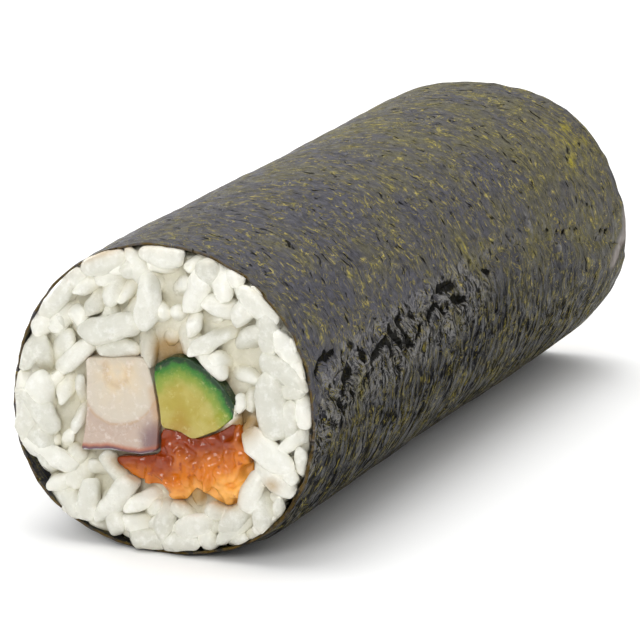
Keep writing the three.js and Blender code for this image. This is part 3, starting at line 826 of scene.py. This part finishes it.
def relish_lumps(sizes, rng, end, outline, pattern):
    """Chopped pieces thrown into the relish's outline, larger and further out towards its foot."""
    copies = []
    while len(copies) < sizes.relish_lumps:
        place = np.array([[rng.uniform(-6.4, 10.8), rng.uniform(6.0, 16.2)]])
        if len(copies) < EDGE_LUMPS:
            step = len(copies) / (EDGE_LUMPS - 1)
            place = np.array([[8.8 + 0.9 * step, 15.4 - 4.2 * step]])
        elif depth_inside(place, outline)[0][0] < 0.5:
            continue
        low = 1 - smooth_step(place[0, 1], 9.0, 13.5)
        size = rng.uniform(0.6, 1.0) + 0.3 * low
        deep = size * 0.7 + rng.uniform(0.3, 1.5) + 0.5 * (1 - low) * (place[0, 0] < 5)
        p = pattern * (1 + 0.4 * wander(pattern, 0.8, rng.uniform(0, 50)))[:, None]
        p = p * (np.array([rng.uniform(0.9, 1.9), rng.uniform(0.6, 1.0), rng.uniform(0.5, 0.9)]) * size)
        turn = np.array(Matrix.Rotation(rng.uniform(0, math.pi), 3, "Y"))
        tip = np.array(Matrix.Rotation(rng.uniform(-0.6, 0.6), 3, "X"))
        p = p @ turn.T @ tip.T
        face = cut_face(sizes, place[0, 0], place[0, 1], end)
        copies.append(p + (place[0, 0], face - end * deep, place[0, 1]))
    return copies


def relish_mesh(sizes, rng):
    """Chopped pieces at both ends, melted into one sauced mass, on a plain strip through the roll."""
    outline = round_outline(RELISH, 0.6, 64)
    pattern, faces = lump_pattern()
    tips = []
    for end in (-1, 1):
        lumps = joined_copies("lumps", pattern, faces, relish_lumps(sizes, rng, end, outline, pattern))
        face = MIDDLE_Y + end * half_length(sizes)
        bed = drawn_through(outline, sizes, 0, (), stop=sorted(face - end * back for back in RELISH_BED))
        tip = joined(bed, lumps)
        apply_modifier(tip, "REMESH", mode="VOXEL", voxel_size=RELISH_VOXEL * MM)
        apply_modifier(tip, "SMOOTH", factor=0.5, iterations=1)
        points = points_of(tip)
        depth, nearest = depth_inside(points[:, [0, 2]], outline)
        over = depth < 0
        points[over, 0], points[over, 2] = nearest[over, 0], nearest[over, 1]
        shown = smooth_step((points[:, 1] - face) * end, -5, -3)
        points[:, 1] += shown * (0.26 * wander(points, 1.2, 3.0) + 0.12 * wander(points, 0.6, 6.0))
        move_points(tip, points)
        tips.append(tip)
    strip = drawn_through(outline, sizes, 6, ())
    relish = joined(strip, *tips)
    face = points_of(relish)[:, [0, 2]]
    above = np.minimum(distance_to_line(face, UNDER_CUCUMBER)[0], distance_to_line(face, UNDER_FISH)[0] * 1.6)
    paint(relish, "from_top", above)
    return relish


# Node helpers


def connect(socket, value):
    """Sets a socket to a number or a colour, or links it to another node's output."""
    if isinstance(value, bpy.types.NodeSocket):
        socket.id_data.links.new(value, socket)
    elif socket.type == "RGBA":
        socket.default_value = (*value, 1)
    else:
        socket.default_value = value


def add_node(tree, kind, settings=None, **inputs):
    """Adds a node with these settings; an input is a number, a colour or another node's output."""
    made = tree.nodes.new(kind)
    for name, value in (settings or {}).items():
        setattr(made, name, value)
    for name, value in inputs.items():
        connect(made.inputs[name.replace("_", " ")], value)
    return made


def add_numbered(kind, settings, inputs):
    """Adds a node to the tree of its inputs, which are given by their numbers, as some have the same name."""
    tree = next(value.id_data for value in inputs.values() if isinstance(value, bpy.types.NodeSocket))
    made = add_node(tree, kind, settings)
    for number, value in inputs.items():
        connect(made.inputs[number], value)
    return made.outputs


def calc(operation, first, second=0.0, clamp=False):
    settings = {"operation": operation, "use_clamp": clamp}
    return add_numbered("ShaderNodeMath", settings, {0: first, 1: second})[0]


def times(first, second, clamp=False):
    return calc("MULTIPLY", first, second, clamp)


def plus(first, second, clamp=False):
    return calc("ADD", first, second, clamp)


def minus(first, second):
    return calc("SUBTRACT", first, second)


def higher(first, second, clamp=False):
    return calc("MAXIMUM", first, second, clamp)


def mixed(share, first, second, mode="MIX"):
    settings = {"data_type": "RGBA", "blend_type": mode}
    return add_numbered("ShaderNodeMix", settings, {0: share, 6: first, 7: second})[2]


def laid_over(ground, *coats):
    """A colour with others laid over it in turn; each coat is a share and a colour."""
    for share, colour in coats:
        ground = mixed(share, ground, colour)
    return ground


def span(value, low, high, to_low=0.0, to_high=1.0, curve="SMOOTHSTEP"):
    """A value from `low` to `high` as one from `to_low` to `to_high`, and no further."""
    settings = {"interpolation_type": curve}
    inputs = {"Value": value, "From_Min": low, "From_Max": high, "To_Min": to_low, "To_Max": to_high}
    return add_node(value.id_data, "ShaderNodeMapRange", settings, **inputs).outputs["Result"]


def band(value, middle, half):
    """1 where the value equals `middle`, falling to 0 at `half` on either side of it."""
    return span(calc("ABSOLUTE", minus(value, middle)), half, 0.0)


def cloud(place, scale, detail=3.0, roughness=0.55, stretch=None):
    """Noise from 0 to 1; `stretch` scales it differently along each axis."""
    tree = place.id_data
    if stretch:
        place = add_node(tree, "ShaderNodeMapping", None, Vector=place, Scale=stretch).outputs["Vector"]
    inputs = {"Vector": place, "Scale": scale, "Detail": detail, "Roughness": roughness}
    return add_node(tree, "ShaderNodeTexNoise", None, **inputs).outputs["Fac"]


def painted(tree, name):
    """A number that was stored on the piece's points under this name."""
    return add_node(tree, "ShaderNodeAttribute", {"attribute_name": name}).outputs["Fac"]


def bump(height, strength, distance):
    """A normal from a height; `distance` is the full depth in millimetres."""
    inputs = {"Height": height, "Strength": strength, "Distance": distance * MM}
    return add_node(height.id_data, "ShaderNodeBump", None, **inputs).outputs["Normal"]


def new_material(name):
    """An empty material with one Principled shader, and its tree and coordinates."""
    material = bpy.data.materials.new(name)
    material.use_nodes = True
    tree = material.node_tree
    tree.nodes.clear()
    shader = tree.nodes.new("ShaderNodeBsdfPrincipled")
    output = tree.nodes.new("ShaderNodeOutputMaterial")
    tree.links.new(shader.outputs["BSDF"], output.inputs["Surface"])
    return material, tree, shader, tree.nodes.new("ShaderNodeTexCoord").outputs


def link_surface(shader, colour, roughness, height, strength, distance):
    """Gives a shader its colour and roughness, and makes it as uneven as a height says."""
    connect(shader.inputs["Base Color"], colour)
    connect(shader.inputs["Roughness"], roughness)
    connect(shader.inputs["Normal"], bump(height, strength, distance))


def set_shader(shader, **values):
    for name, value in values.items():
        shader.inputs[name.replace("_", " ")].default_value = value


def damp_surface():
    """A group for moist food: fine unevenness, and patches that are wetter than the rest."""
    found = bpy.data.node_groups.get("Damp surface")
    if found:
        return found
    group = bpy.data.node_groups.new("Damp surface", "ShaderNodeTree")
    sockets = group.interface
    sockets.new_socket("Place", in_out="INPUT", socket_type="NodeSocketVector")
    for name, value in (("Fineness", 1500.0), ("Dry", 0.5), ("Wet", 0.25)):
        sockets.new_socket(name, in_out="INPUT", socket_type="NodeSocketFloat").default_value = value
    for name in ("Roughness", "Height"):
        sockets.new_socket(name, in_out="OUTPUT", socket_type="NodeSocketFloat")
    given = group.nodes.new("NodeGroupInput").outputs
    result = group.nodes.new("NodeGroupOutput").inputs
    fine = cloud(given["Place"], given["Fineness"], 3.0, 0.6)
    coarse = cloud(given["Place"], times(given["Fineness"], 0.3), 2.0, 0.5)
    patches = span(coarse, 0.35, 0.65)
    connect(result["Roughness"], span(patches, 0.0, 1.0, given["Wet"], given["Dry"], "LINEAR"))
    connect(result["Height"], plus(times(fine, 0.4), times(coarse, 0.6)))
    return group


def damp(place, fineness, dry, wet):
    """The damp surface with these values, as its roughness and height."""
    inputs = {"Place": place, "Fineness": fineness, "Dry": dry, "Wet": wet}
    return add_node(place.id_data, "ShaderNodeGroup", {"node_tree": damp_surface()}, **inputs).outputs


# Materials


def seaweed_material(colours):
    """Dried seaweed: charcoal with a sheen, olive fibres that swirl and run round the roll, and pits; painted shade
    below the seam and in the crevices, painted highlights on the folds and on a strip at the far rim, and a painted
    yellow glow on thin spots.
    """
    material, tree, shader, place = new_material("Dried seaweed")
    flat = place["UV"]
    swirl = add_node(tree, "ShaderNodeTexNoise", None, Vector=flat, Scale=14.0, Detail=3.0).outputs["Color"]
    bent = add_numbered(
        "ShaderNodeVectorMath", {"operation": "MULTIPLY_ADD"}, {0: swirl, 1: (0.07, 0.07, 0.0), 2: flat}
    )[0]
    along = add_node(tree, "ShaderNodeSeparateXYZ", None, Vector=flat).outputs["Y"]
    crowd = plus(cloud(flat, 11.0, 5.0, 0.65), span(along, 0.2, 0.85, -0.06, 0.05))
    speck = cloud(flat, 95.0, 4.0, 0.75)
    strokes = cloud(bent, 1.0, 4.0, 0.65, (44, 130, 1))
    along_round = band(cloud(bent, 1.0, 1.5, 0.5, (30, 82, 1)), 0.5, 0.026)
    along_length = band(cloud(bent, 1.0, 1.5, 0.5, (80, 50, 3)), 0.5, 0.02)
    curls = band(cloud(bent, 85.0, 2.0, 0.55), 0.52, 0.035)
    curls = times(curls, span(cloud(flat, 20.0, 2.0), 0.46, 0.6))
    threads = higher(along_round, along_length)
    some = span(cloud(flat, 60.0, 2.0), 0.44, 0.56)
    flecks = times(span(strokes, 0.58, 0.65), span(crowd, 0.38, 0.62, 0.05, 0.95))
    olive = higher(flecks, times(threads, some), True)
    olive = times(higher(olive, curls), span(speck, 0.3, 0.55, 0.45, 1.0))
    pits = span(cloud(bent, 1.0, 2.0, 0.5, (55, 130, 2)), 0.38, 0.3)
    creased = span(cloud(flat, 1.0, 3.0, 0.6, (60, 110, 1)), 0.46, 0.38)
    crevice = times(span(painted(tree, "shrunk"), 0.35, 0.9), creased)
    frayed = times(minus(strokes, 0.5), 1.6)
    torn_in = span(plus(painted(tree, "torn_in"), frayed), 0.3, 0.52)
    ground = mixed(span(crowd, 0.4, 0.7), colours.seaweed_dark, colours.seaweed_brown)
    # Painted shade: the sheet below the seam, on the roll's lower side, is painted darker.
    below = times(painted(tree, "shaded_below_seam"), span(crowd, 0.35, 0.65, 1.0, 0.75))
    ground = mixed(below, ground, colours.seaweed_below_shade)
    light = span(cloud(flat, 130.0, 2.0), 0.45, 0.62)
    fleck = mixed(light, colours.seaweed_fleck, colours.seaweed_bright)
    olive = times(olive, span(below, 0.0, 1.0, 0.85, 0.6))
    speckled = span(speck, 0.32, 0.68, 0.45, 1.65, "LINEAR")
    colour = mixed(1.0, mixed(olive, ground, fleck), speckled, "MULTIPLY")
    # Painted highlights: a pale grey sheen on the raised folds and on thin ridges in the crinkled stretch.
    raised_sheen = times(painted(tree, "folded"), span(speck, 0.35, 0.6))
    crinkle_sheen = band(cloud(bent, 75.0, 4.0, 0.65), 0.5, 0.06)
    crinkle_sheen = times(crinkle_sheen, span(painted(tree, "shrunk"), 0.25, 0.9, 0.0, 0.7))
    sheen_colour = mixed(span(crowd, 0.5, 0.68), colours.seaweed_fold_sheen, colours.seaweed_fleck)
    # Painted light: a yellow glow on the thin spots.
    sun = times(painted(tree, "lit"), span(strokes, 0.42, 0.56))
    sun = times(sun, span(speck, 0.35, 0.6, 0.3, 1.1), True)
    # Painted shade: near black in the pits, creases, crevices and tears.
    dark = higher(higher(pits, crevice), torn_in)
    # Painted reflection on the smooth strip at the far rim; the strip is also left without bumps.
    smooth_sheen = painted(tree, "sheen_strip_mask")
    edge = times(painted(tree, "cut_edge"), span(cloud(flat, 60.0), 0.35, 0.6))
    colour = laid_over(
        colour,
        (higher(raised_sheen, crinkle_sheen), sheen_colour),
        (sun, colours.seaweed_glow_spot),
        (times(dark, 0.92), (0.004, 0.004, 0.003)),
        (smooth_sheen, tint(128, 120, 114)),
        (edge, colours.seaweed_edge),
    )
    rough = span(cloud(flat, 60.0, 3.0), 0.35, 0.65, 0.4, 0.66, "LINEAR")
    height = plus(times(strokes, 0.7), times(olive, 0.3))
    height = plus(height, times(speck, 0.6))
    height = minus(height, times(dark, 0.7))
    wrinkles = cloud(bent, 1.0, 3.0, 0.6, (20, 48, 1))
    height = plus(height, times(wrinkles, 2.6))
    plain = minus(1.0, times(smooth_sheen, 0.9))
    link_surface(shader, colour, plus(rough, times(olive, 0.1)), times(height, plain), 1.0, 0.42)
    gleam = span(cloud(bent, 1.0, 4.0, 0.7, (40, 90, 1)), 0.45, 0.66, 0.0, 0.9)
    gleam = mixed(painted(tree, "shaded_below_seam"), (0.5, 0.5, 0.5), gleam)
    gleam = times(gleam, minus(1.0, times(dark, 0.9)))
    connect(shader.inputs["Specular IOR Level"], gleam)
    set_shader(shader, IOR=1.34)
    return material


def rice_material(colours):
    """Cooked rice: moist and slightly clear grains, some whiter than others, with oil stains by the relish, and painted
    shade behind the cut face, in hollows and by the fish and cucumber.
    """
    material, tree, shader, place = new_material("Cooked rice")
    spot = place["Object"]
    wet = damp(spot, 2000.0, 0.5, 0.26)
    share = times(painted(tree, "tone"), 0.6)
    share = plus(share, times(cloud(spot, 420.0), 0.5), True)
    starch = span(cloud(spot, 900.0, 4.0, 0.7), 0.46, 0.7, 0.0, 0.4)
    colour = laid_over(
        colours.rice_clear,
        (span(share, 0.25, 0.75), colours.rice_white),
        (starch, tint(240, 240, 236)),
        # painted shade behind the cut face
        (times(painted(tree, "behind"), 0.7), colours.rice_deep_shade),
        (times(painted(tree, "stain_and_shade"), 0.85), colours.oil_stain_and_shade),
    )
    link_surface(shader, colour, wet["Roughness"], wet["Height"], 0.9, 0.3)
    shader.subsurface_method = "BURLEY"
    set_shader(shader, Subsurface_Weight=0.75, Subsurface_Radius=(1.0, 0.95, 0.85), Subsurface_Scale=0.0013, IOR=1.4)
    set_shader(shader, Coat_Weight=0.2, Coat_Roughness=0.12)
    return material


def mackerel_material(colours):
    """Cured mackerel: pale flesh in muscle rings, pink and purple towards the silver skin."""
    material, tree, shader, place = new_material("Cured mackerel")
    spot = place["Object"]
    wet = damp(spot, 900.0, 0.42, 0.22)
    waver = cloud(spot, 500.0)
    ring = plus(painted(tree, "ring"), times(minus(waver, 0.5), 0.7))
    outer_line = times(band(ring, 5.35, 0.3), 0.35)
    curl = plus(painted(tree, "curl"), times(minus(waver, 0.5), 0.8))
    curl = times(span(curl, 0.9, 0.0), 0.38)
    amber = times(span(ring, 4.5, 1.0), span(waver, 0.35, 0.65, 0.1, 0.45))
    streaks = span(cloud(spot, 1300.0, 3.0, 0.7), 0.5, 0.72)
    blood = times(span(painted(tree, "from_bloodline"), 1.0, 0.1), 0.5)
    corner = plus(painted(tree, "from_corner"), times(waver, 1.8))
    under = plus(painted(tree, "from_skin"), times(waver, 0.7))
    silver = span(under, 0.75, 0.6)
    colour = laid_over(
        colours.fish_pale,
        (span(ring, 4.7, 5.7), colours.fish_pink),
        (higher(outer_line, curl), colours.fish_line),
        (amber, tint(226, 200, 152)),
        (times(streaks, 0.4), (0.78, 0.72, 0.66)),
        (blood, colours.fish_line),
        (span(corner, 3.9, 1.7, 0.0, 0.75), colours.fish_dark),
        (span(under, 1.6, 1.0, 0.0, 0.8), tint(168, 88, 48)),
        (span(under, 1.15, 0.8), colours.fish_dark),
        (silver, (0.62, 0.64, 0.66)),
    )
    connect(shader.inputs["Metallic"], times(silver, 0.7))
    link_surface(shader, colour, wet["Roughness"], plus(wet["Height"], times(streaks, 0.3)), 0.4, 0.2)
    set_shader(shader, Subsurface_Weight=0.2, Subsurface_Radius=(1.0, 0.6, 0.45), Subsurface_Scale=0.0009)
    set_shader(shader, Coat_Weight=0.2, Coat_Roughness=0.15)
    return material


def cucumber_material(colours):
    """Wet cucumber: a dark skin, a bright green band under it and olive flesh."""
    material, tree, shader, place = new_material("Cucumber")
    spot = place["Object"]
    wet = damp(spot, 800.0, 0.4, 0.18)
    waver = times(minus(cloud(spot, 700.0, 5.0, 0.7), 0.5), 1.9)
    deep = plus(painted(tree, "from_skin"), waver)
    cloudy = span(cloud(spot, 330.0, 3.0), 0.42, 0.66, 0.0, 0.4)
    fleck = span(cloud(spot, 1600.0, 3.0, 0.7), 0.55, 0.75, 0.0, 0.35)
    colour = laid_over(
        colours.cucumber_green,
        (span(deep, 1.8, 3.8), colours.cucumber_flesh),
        (span(deep, 2.1, 0.9), colours.cucumber_band),
        (span(deep, 1.0, 0.45), colours.cucumber_skin),
        (span(deep, 4.6, 8.6), colours.cucumber_heart),
        (times(cloudy, span(deep, 2.0, 3.0)), tint(192, 182, 112)),
        (fleck, tint(208, 202, 138)),
    )
    link_surface(shader, colour, wet["Roughness"], wet["Height"], 0.4, 0.2)
    set_shader(shader, Subsurface_Weight=0.15, Subsurface_Radius=(0.8, 1.0, 0.3), Subsurface_Scale=0.001)
    return material


def relish_material(colours):
    """Chopped relish in an oily orange sauce, painted darker and redder as shade where it lies under the fish and
    cucumber.
    """
    material, tree, shader, place = new_material("Orange relish")
    spot = place["Object"]
    wet = damp(spot, 1500.0, 0.24, 0.07)
    patch = times(minus(cloud(spot, 380.0, 3.0, 0.6), 0.5), 3.2)
    # Painted shade: the relish is darker the nearer it lies to the fish and cucumber above it.
    deep = plus(painted(tree, "from_top"), patch)
    colour = laid_over(
        colours.relish_dark_and_shade,
        (span(deep, 1.0, 4.0), colours.relish_mid),
        (span(deep, 3.6, 6.5), colours.relish_light),
        (span(cloud(spot, 900.0), 0.6, 0.72, 0.0, 0.7), colours.relish_dark_and_shade),
    )
    link_surface(shader, colour, wet["Roughness"], wet["Height"], 0.9, 0.3)
    shader.subsurface_method = "BURLEY"
    set_shader(shader, Subsurface_Weight=0.35, Subsurface_Radius=(1.0, 0.5, 0.2), Subsurface_Scale=0.0008)
    set_shader(shader, Coat_Weight=0.5, Coat_Roughness=0.04, IOR=1.33)
    return material


def floor_material(colours):
    """A plain pale floor with the faintest grain, so that it isn't dead flat."""
    material, _, shader, place = new_material("Pale floor")
    near = colours.floor
    grain = cloud(place["Object"], 40.0)
    connect(shader.inputs["Base Color"], mixed(grain, near, tuple(c * 0.97 for c in near)))
    set_shader(shader, Roughness=0.8)
    return material


# Sizes and colours that a user would change


def length_property(name, description, default):
    settings = {"min": 0, "precision": 5, "unit": "LENGTH"}
    return bpy.props.FloatProperty(name=name, description=description, default=default, **settings)


def count_property(name, description, default, least, most):
    return bpy.props.IntProperty(name=name, description=description, default=default, min=least, max=most)


def colour_property(name, description, *screen):
    settings = {"size": 3, "min": 0, "max": 1, "subtype": "COLOR"}
    return bpy.props.FloatVectorProperty(name=name, description=description, default=tint(*screen), **settings)


class HandRollSizes(bpy.types.PropertyGroup):
    roll_length: length_property("Roll length", "Length along the middle of the roll", 0.1)
    roll_width: length_property("Roll width", "Width across the roll with its lap", 0.038)
    roll_height: length_property("Roll height", "Height of the roll as it lies", 0.0352)
    sheet_thickness: length_property("Sheet thickness", "Room that one layer of seaweed takes", 0.00045)
    grain_length: length_property("Grain length", "Length of a cooked rice grain", 0.0074)
    grain_width: length_property("Grain width", "Width of a cooked rice grain", 0.0029)
    core_recess: length_property("Packed rice recess", "From the cut face back to the packed rice", 0.0019)
    shown_end_grains: count_property("Grains, shown end", "Separate grains at the shown end", 146, 110, 180)
    far_end_grains: count_property("Grains, far end", "Separate grains at the far end", 122, 60, 180)
    rim_grains: count_property("Grains along the sheet", "Grains of each end that lie against the sheet", 38, 10, 50)
    relish_lumps: count_property("Relish pieces", "Chopped pieces at each cut end", 110, 20, 150)
    sheet_columns: count_property("Sheet columns", "Faces round the sheet", 214, 60, 260)
    sheet_rows: count_property("Sheet rows", "Faces along the sheet", 214, 40, 220)


class HandRollColours(bpy.types.PropertyGroup):
    seaweed_dark: colour_property("Seaweed", "The sheet's own colour", 66, 65, 72)
    seaweed_brown: colour_property("Seaweed, thin", "Where the sheet is thinner", 86, 82, 58)
    seaweed_fleck: colour_property("Seaweed fibres", "Olive fibres in the sheet", 128, 120, 56)
    seaweed_bright: colour_property("Seaweed fibres, bright", "Lightest fibres", 172, 156, 80)
    # Painted shade on the roll's lower side, below the seam.
    seaweed_below_shade: colour_property("Seaweed below the seam", "Darker first layer", 28, 28, 30)
    # Painted highlight on the raised folds.
    seaweed_fold_sheen: colour_property("Seaweed folds", "Raised folds at the seam", 142, 140, 138)
    # Painted glow of light on thin spots.
    seaweed_glow_spot: colour_property("Seaweed spots", "Thin spots that glow yellow", 170, 156, 24)
    seaweed_edge: colour_property("Seaweed, cut edge", "Thin cut edge of the sheet", 88, 70, 34)
    rice_white: colour_property("Rice, white", "Whitest grains", 222, 221, 211)
    rice_clear: colour_property("Rice, clear", "Clearer grains", 200, 199, 187)
    # Painted shade on rice behind the cut face.
    rice_deep_shade: colour_property("Rice, deep", "Rice behind the cut face", 206, 199, 172)
    # Oil stain by the relish, and painted shade in hollows and by the fish and cucumber.
    oil_stain_and_shade: colour_property("Oil stain", "Rice that the relish's oil has reached", 160, 122, 50)
    fish_pale: colour_property("Fish, pale", "Inner muscle", 199, 188, 171)
    fish_pink: colour_property("Fish, pink", "Outer muscle", 185, 165, 150)
    fish_line: colour_property("Fish, lines", "Lines between muscles", 178, 138, 88)
    fish_dark: colour_property("Fish, dark", "Dark flesh by the skin", 98, 62, 74)
    cucumber_flesh: colour_property("Cucumber, flesh", "Inner flesh", 166, 150, 58)
    cucumber_heart: colour_property("Cucumber, heart", "Flesh by the seeds", 158, 120, 40)
    cucumber_green: colour_property("Cucumber, outer flesh", "Greener outer flesh", 128, 146, 46)
    cucumber_band: colour_property("Cucumber, band", "Band under the skin", 42, 112, 18)
    cucumber_skin: colour_property("Cucumber, skin", "Skin", 12, 50, 14)
    relish_light: colour_property("Relish, light", "Lightest pieces", 238, 170, 80)
    relish_mid: colour_property("Relish, middle", "Most pieces", 202, 112, 18)
    # Painted shade under the fish and cucumber, and dark patches.
    relish_dark_and_shade: colour_property("Relish, dark", "Sauce in the shade", 138, 52, 6)
    floor: colour_property("Floor", "The stage's floor", 246, 246, 245)


# Operators


class HANDROLL_OT_stage(bpy.types.Operator):
    """Add the pale floor, the soft lights and the camera"""

    bl_idname = "handroll.stage"
    bl_label = "Stage"

    def execute(self, context):
        deselect()
        bpy.ops.mesh.primitive_plane_add(size=3, location=(0, 0, -0.00002))
        floor = context.active_object
        floor.name = "floor"
        floor.data.materials.append(floor_material(context.scene.handroll_colours))
        self.room(context)
        self.lamp("window_light", (-0.12, 0.1, 0.9), 0.8, 5.0)
        self.lamp("front_light", (0.1, -0.9, 0.5), 0.35, 3.2)
        self.lamp("back_light", (-0.75, 0.6, 0.22), 0.35, 2.5)
        self.camera(context)
        context.scene.view_settings.view_transform = "Standard"
        return {"FINISHED"}

    def room(self, context):
        """Even light from overhead that fades towards the horizon."""
        world = bpy.data.worlds.new("Soft room")
        context.scene.world = world
        world.use_nodes = True
        tree = world.node_tree
        way = tree.nodes.new("ShaderNodeTexCoord").outputs["Generated"]
        height = add_node(tree, "ShaderNodeSeparateXYZ", None, Vector=way).outputs["Z"]
        light = mixed(span(height, 0.0, 0.7), (0.34, 0.34, 0.36), (0.9, 0.9, 0.9))
        connect(tree.nodes["Background"].inputs["Color"], light)
        tree.nodes["Background"].inputs["Strength"].default_value = 0.95

    def lamp(self, name, place, size, power):
        deselect()
        bpy.ops.object.light_add(type="AREA", location=place)
        lamp = bpy.context.active_object
        lamp.name = name
        lamp.data.shape, lamp.data.size, lamp.data.energy = "SQUARE", size, power
        towards = Vector(LAMP_AIM) - Vector(place)
        lamp.rotation_euler = towards.to_track_quat("-Z", "Y").to_euler()

    def camera(self, context):
        a, e = math.radians(CAMERA["azimuth"]), math.radians(CAMERA["elevation"])
        back = Vector((math.sin(a) * math.cos(e), -math.cos(a) * math.cos(e), math.sin(e)))
        right = Vector((math.cos(a), math.sin(a), 0))
        up = back.cross(right)
        target = right * CAMERA["aim"][0] + up * CAMERA["aim"][1] + Vector(CAMERA["middle"])
        deselect()
        bpy.ops.object.camera_add(location=(target + back * CAMERA["distance"]) * MM)
        camera = context.active_object
        camera.rotation_euler = Matrix((right, up, back)).transposed().to_euler()
        camera.data.lens, camera.data.sensor_width = CAMERA["lens"], CAMERA["sensor"]
        camera.data.clip_start, camera.data.clip_end = 0.01, 20
        context.scene.camera = camera


class HANDROLL_OT_seaweed(bpy.types.Operator):
    """Add the dried seaweed sheet, rolled up and lapped"""

    bl_idname = "handroll.seaweed"
    bl_label = "Seaweed sheet"

    def execute(self, context):
        sheet = seaweed_mesh(context.scene.handroll_sizes)
        material = seaweed_material(context.scene.handroll_colours)
        finish_piece(sheet, "seaweed", ["seaweed_sheet"], material)
        return {"FINISHED"}


class HANDROLL_OT_rice(bpy.types.Operator):
    """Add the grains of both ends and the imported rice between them"""

    bl_idname = "handroll.rice"
    bl_label = "Rice"

    def execute(self, context):
        sizes = context.scene.handroll_sizes
        heap = joined(heap_mesh(sizes, np.random.default_rng(SEED)), packed_core(sizes))
        rice_shade(heap, sizes)
        finish_piece(heap, "rice_grains", ["rice"], rice_material(context.scene.handroll_colours))
        return {"FINISHED"}


class HANDROLL_OT_fillings(bpy.types.Operator):
    """Add the mackerel, the cucumber and the relish"""

    bl_idname = "handroll.fillings"
    bl_label = "Fillings"

    def execute(self, context):
        sizes, colours = context.scene.handroll_sizes, context.scene.handroll_colours
        finish_piece(mackerel_mesh(sizes), "mackerel_strip", ["mackerel"], mackerel_material(colours))
        finish_piece(cucumber_mesh(sizes), "cucumber_wedge", ["cucumber"], cucumber_material(colours))
        relish = relish_mesh(sizes, np.random.default_rng(SEED + 1))
        finish_piece(relish, "relish_heap", ["relish"], relish_material(colours))
        return {"FINISHED"}


class HANDROLL_PT_panel(bpy.types.Panel):
    bl_label = "Hand roll"
    bl_space_type = "VIEW_3D"
    bl_region_type = "UI"
    bl_category = "Hand roll"

    def draw(self, context):
        for kind in OPERATORS:
            self.layout.operator(kind.bl_idname)
        for group in (context.scene.handroll_sizes, context.scene.handroll_colours):
            for name in group.__annotations__:
                self.layout.prop(group, name)


OPERATORS = (HANDROLL_OT_stage, HANDROLL_OT_seaweed, HANDROLL_OT_rice, HANDROLL_OT_fillings)
CLASSES = (HandRollSizes, HandRollColours, *OPERATORS, HANDROLL_PT_panel)


def register():
    for kind in CLASSES:
        bpy.utils.register_class(kind)
    bpy.types.Scene.handroll_sizes = bpy.props.PointerProperty(type=HandRollSizes)
    bpy.types.Scene.handroll_colours = bpy.props.PointerProperty(type=HandRollColours)


def unregister():
    del bpy.types.Scene.handroll_colours
    del bpy.types.Scene.handroll_sizes
    for kind in reversed(CLASSES):
        bpy.utils.unregister_class(kind)


def main():
    register()
    bpy.ops.handroll.stage()
    bpy.ops.handroll.seaweed()
    bpy.ops.handroll.rice()
    bpy.ops.handroll.fillings()


if __name__ == "__main__":
    main()
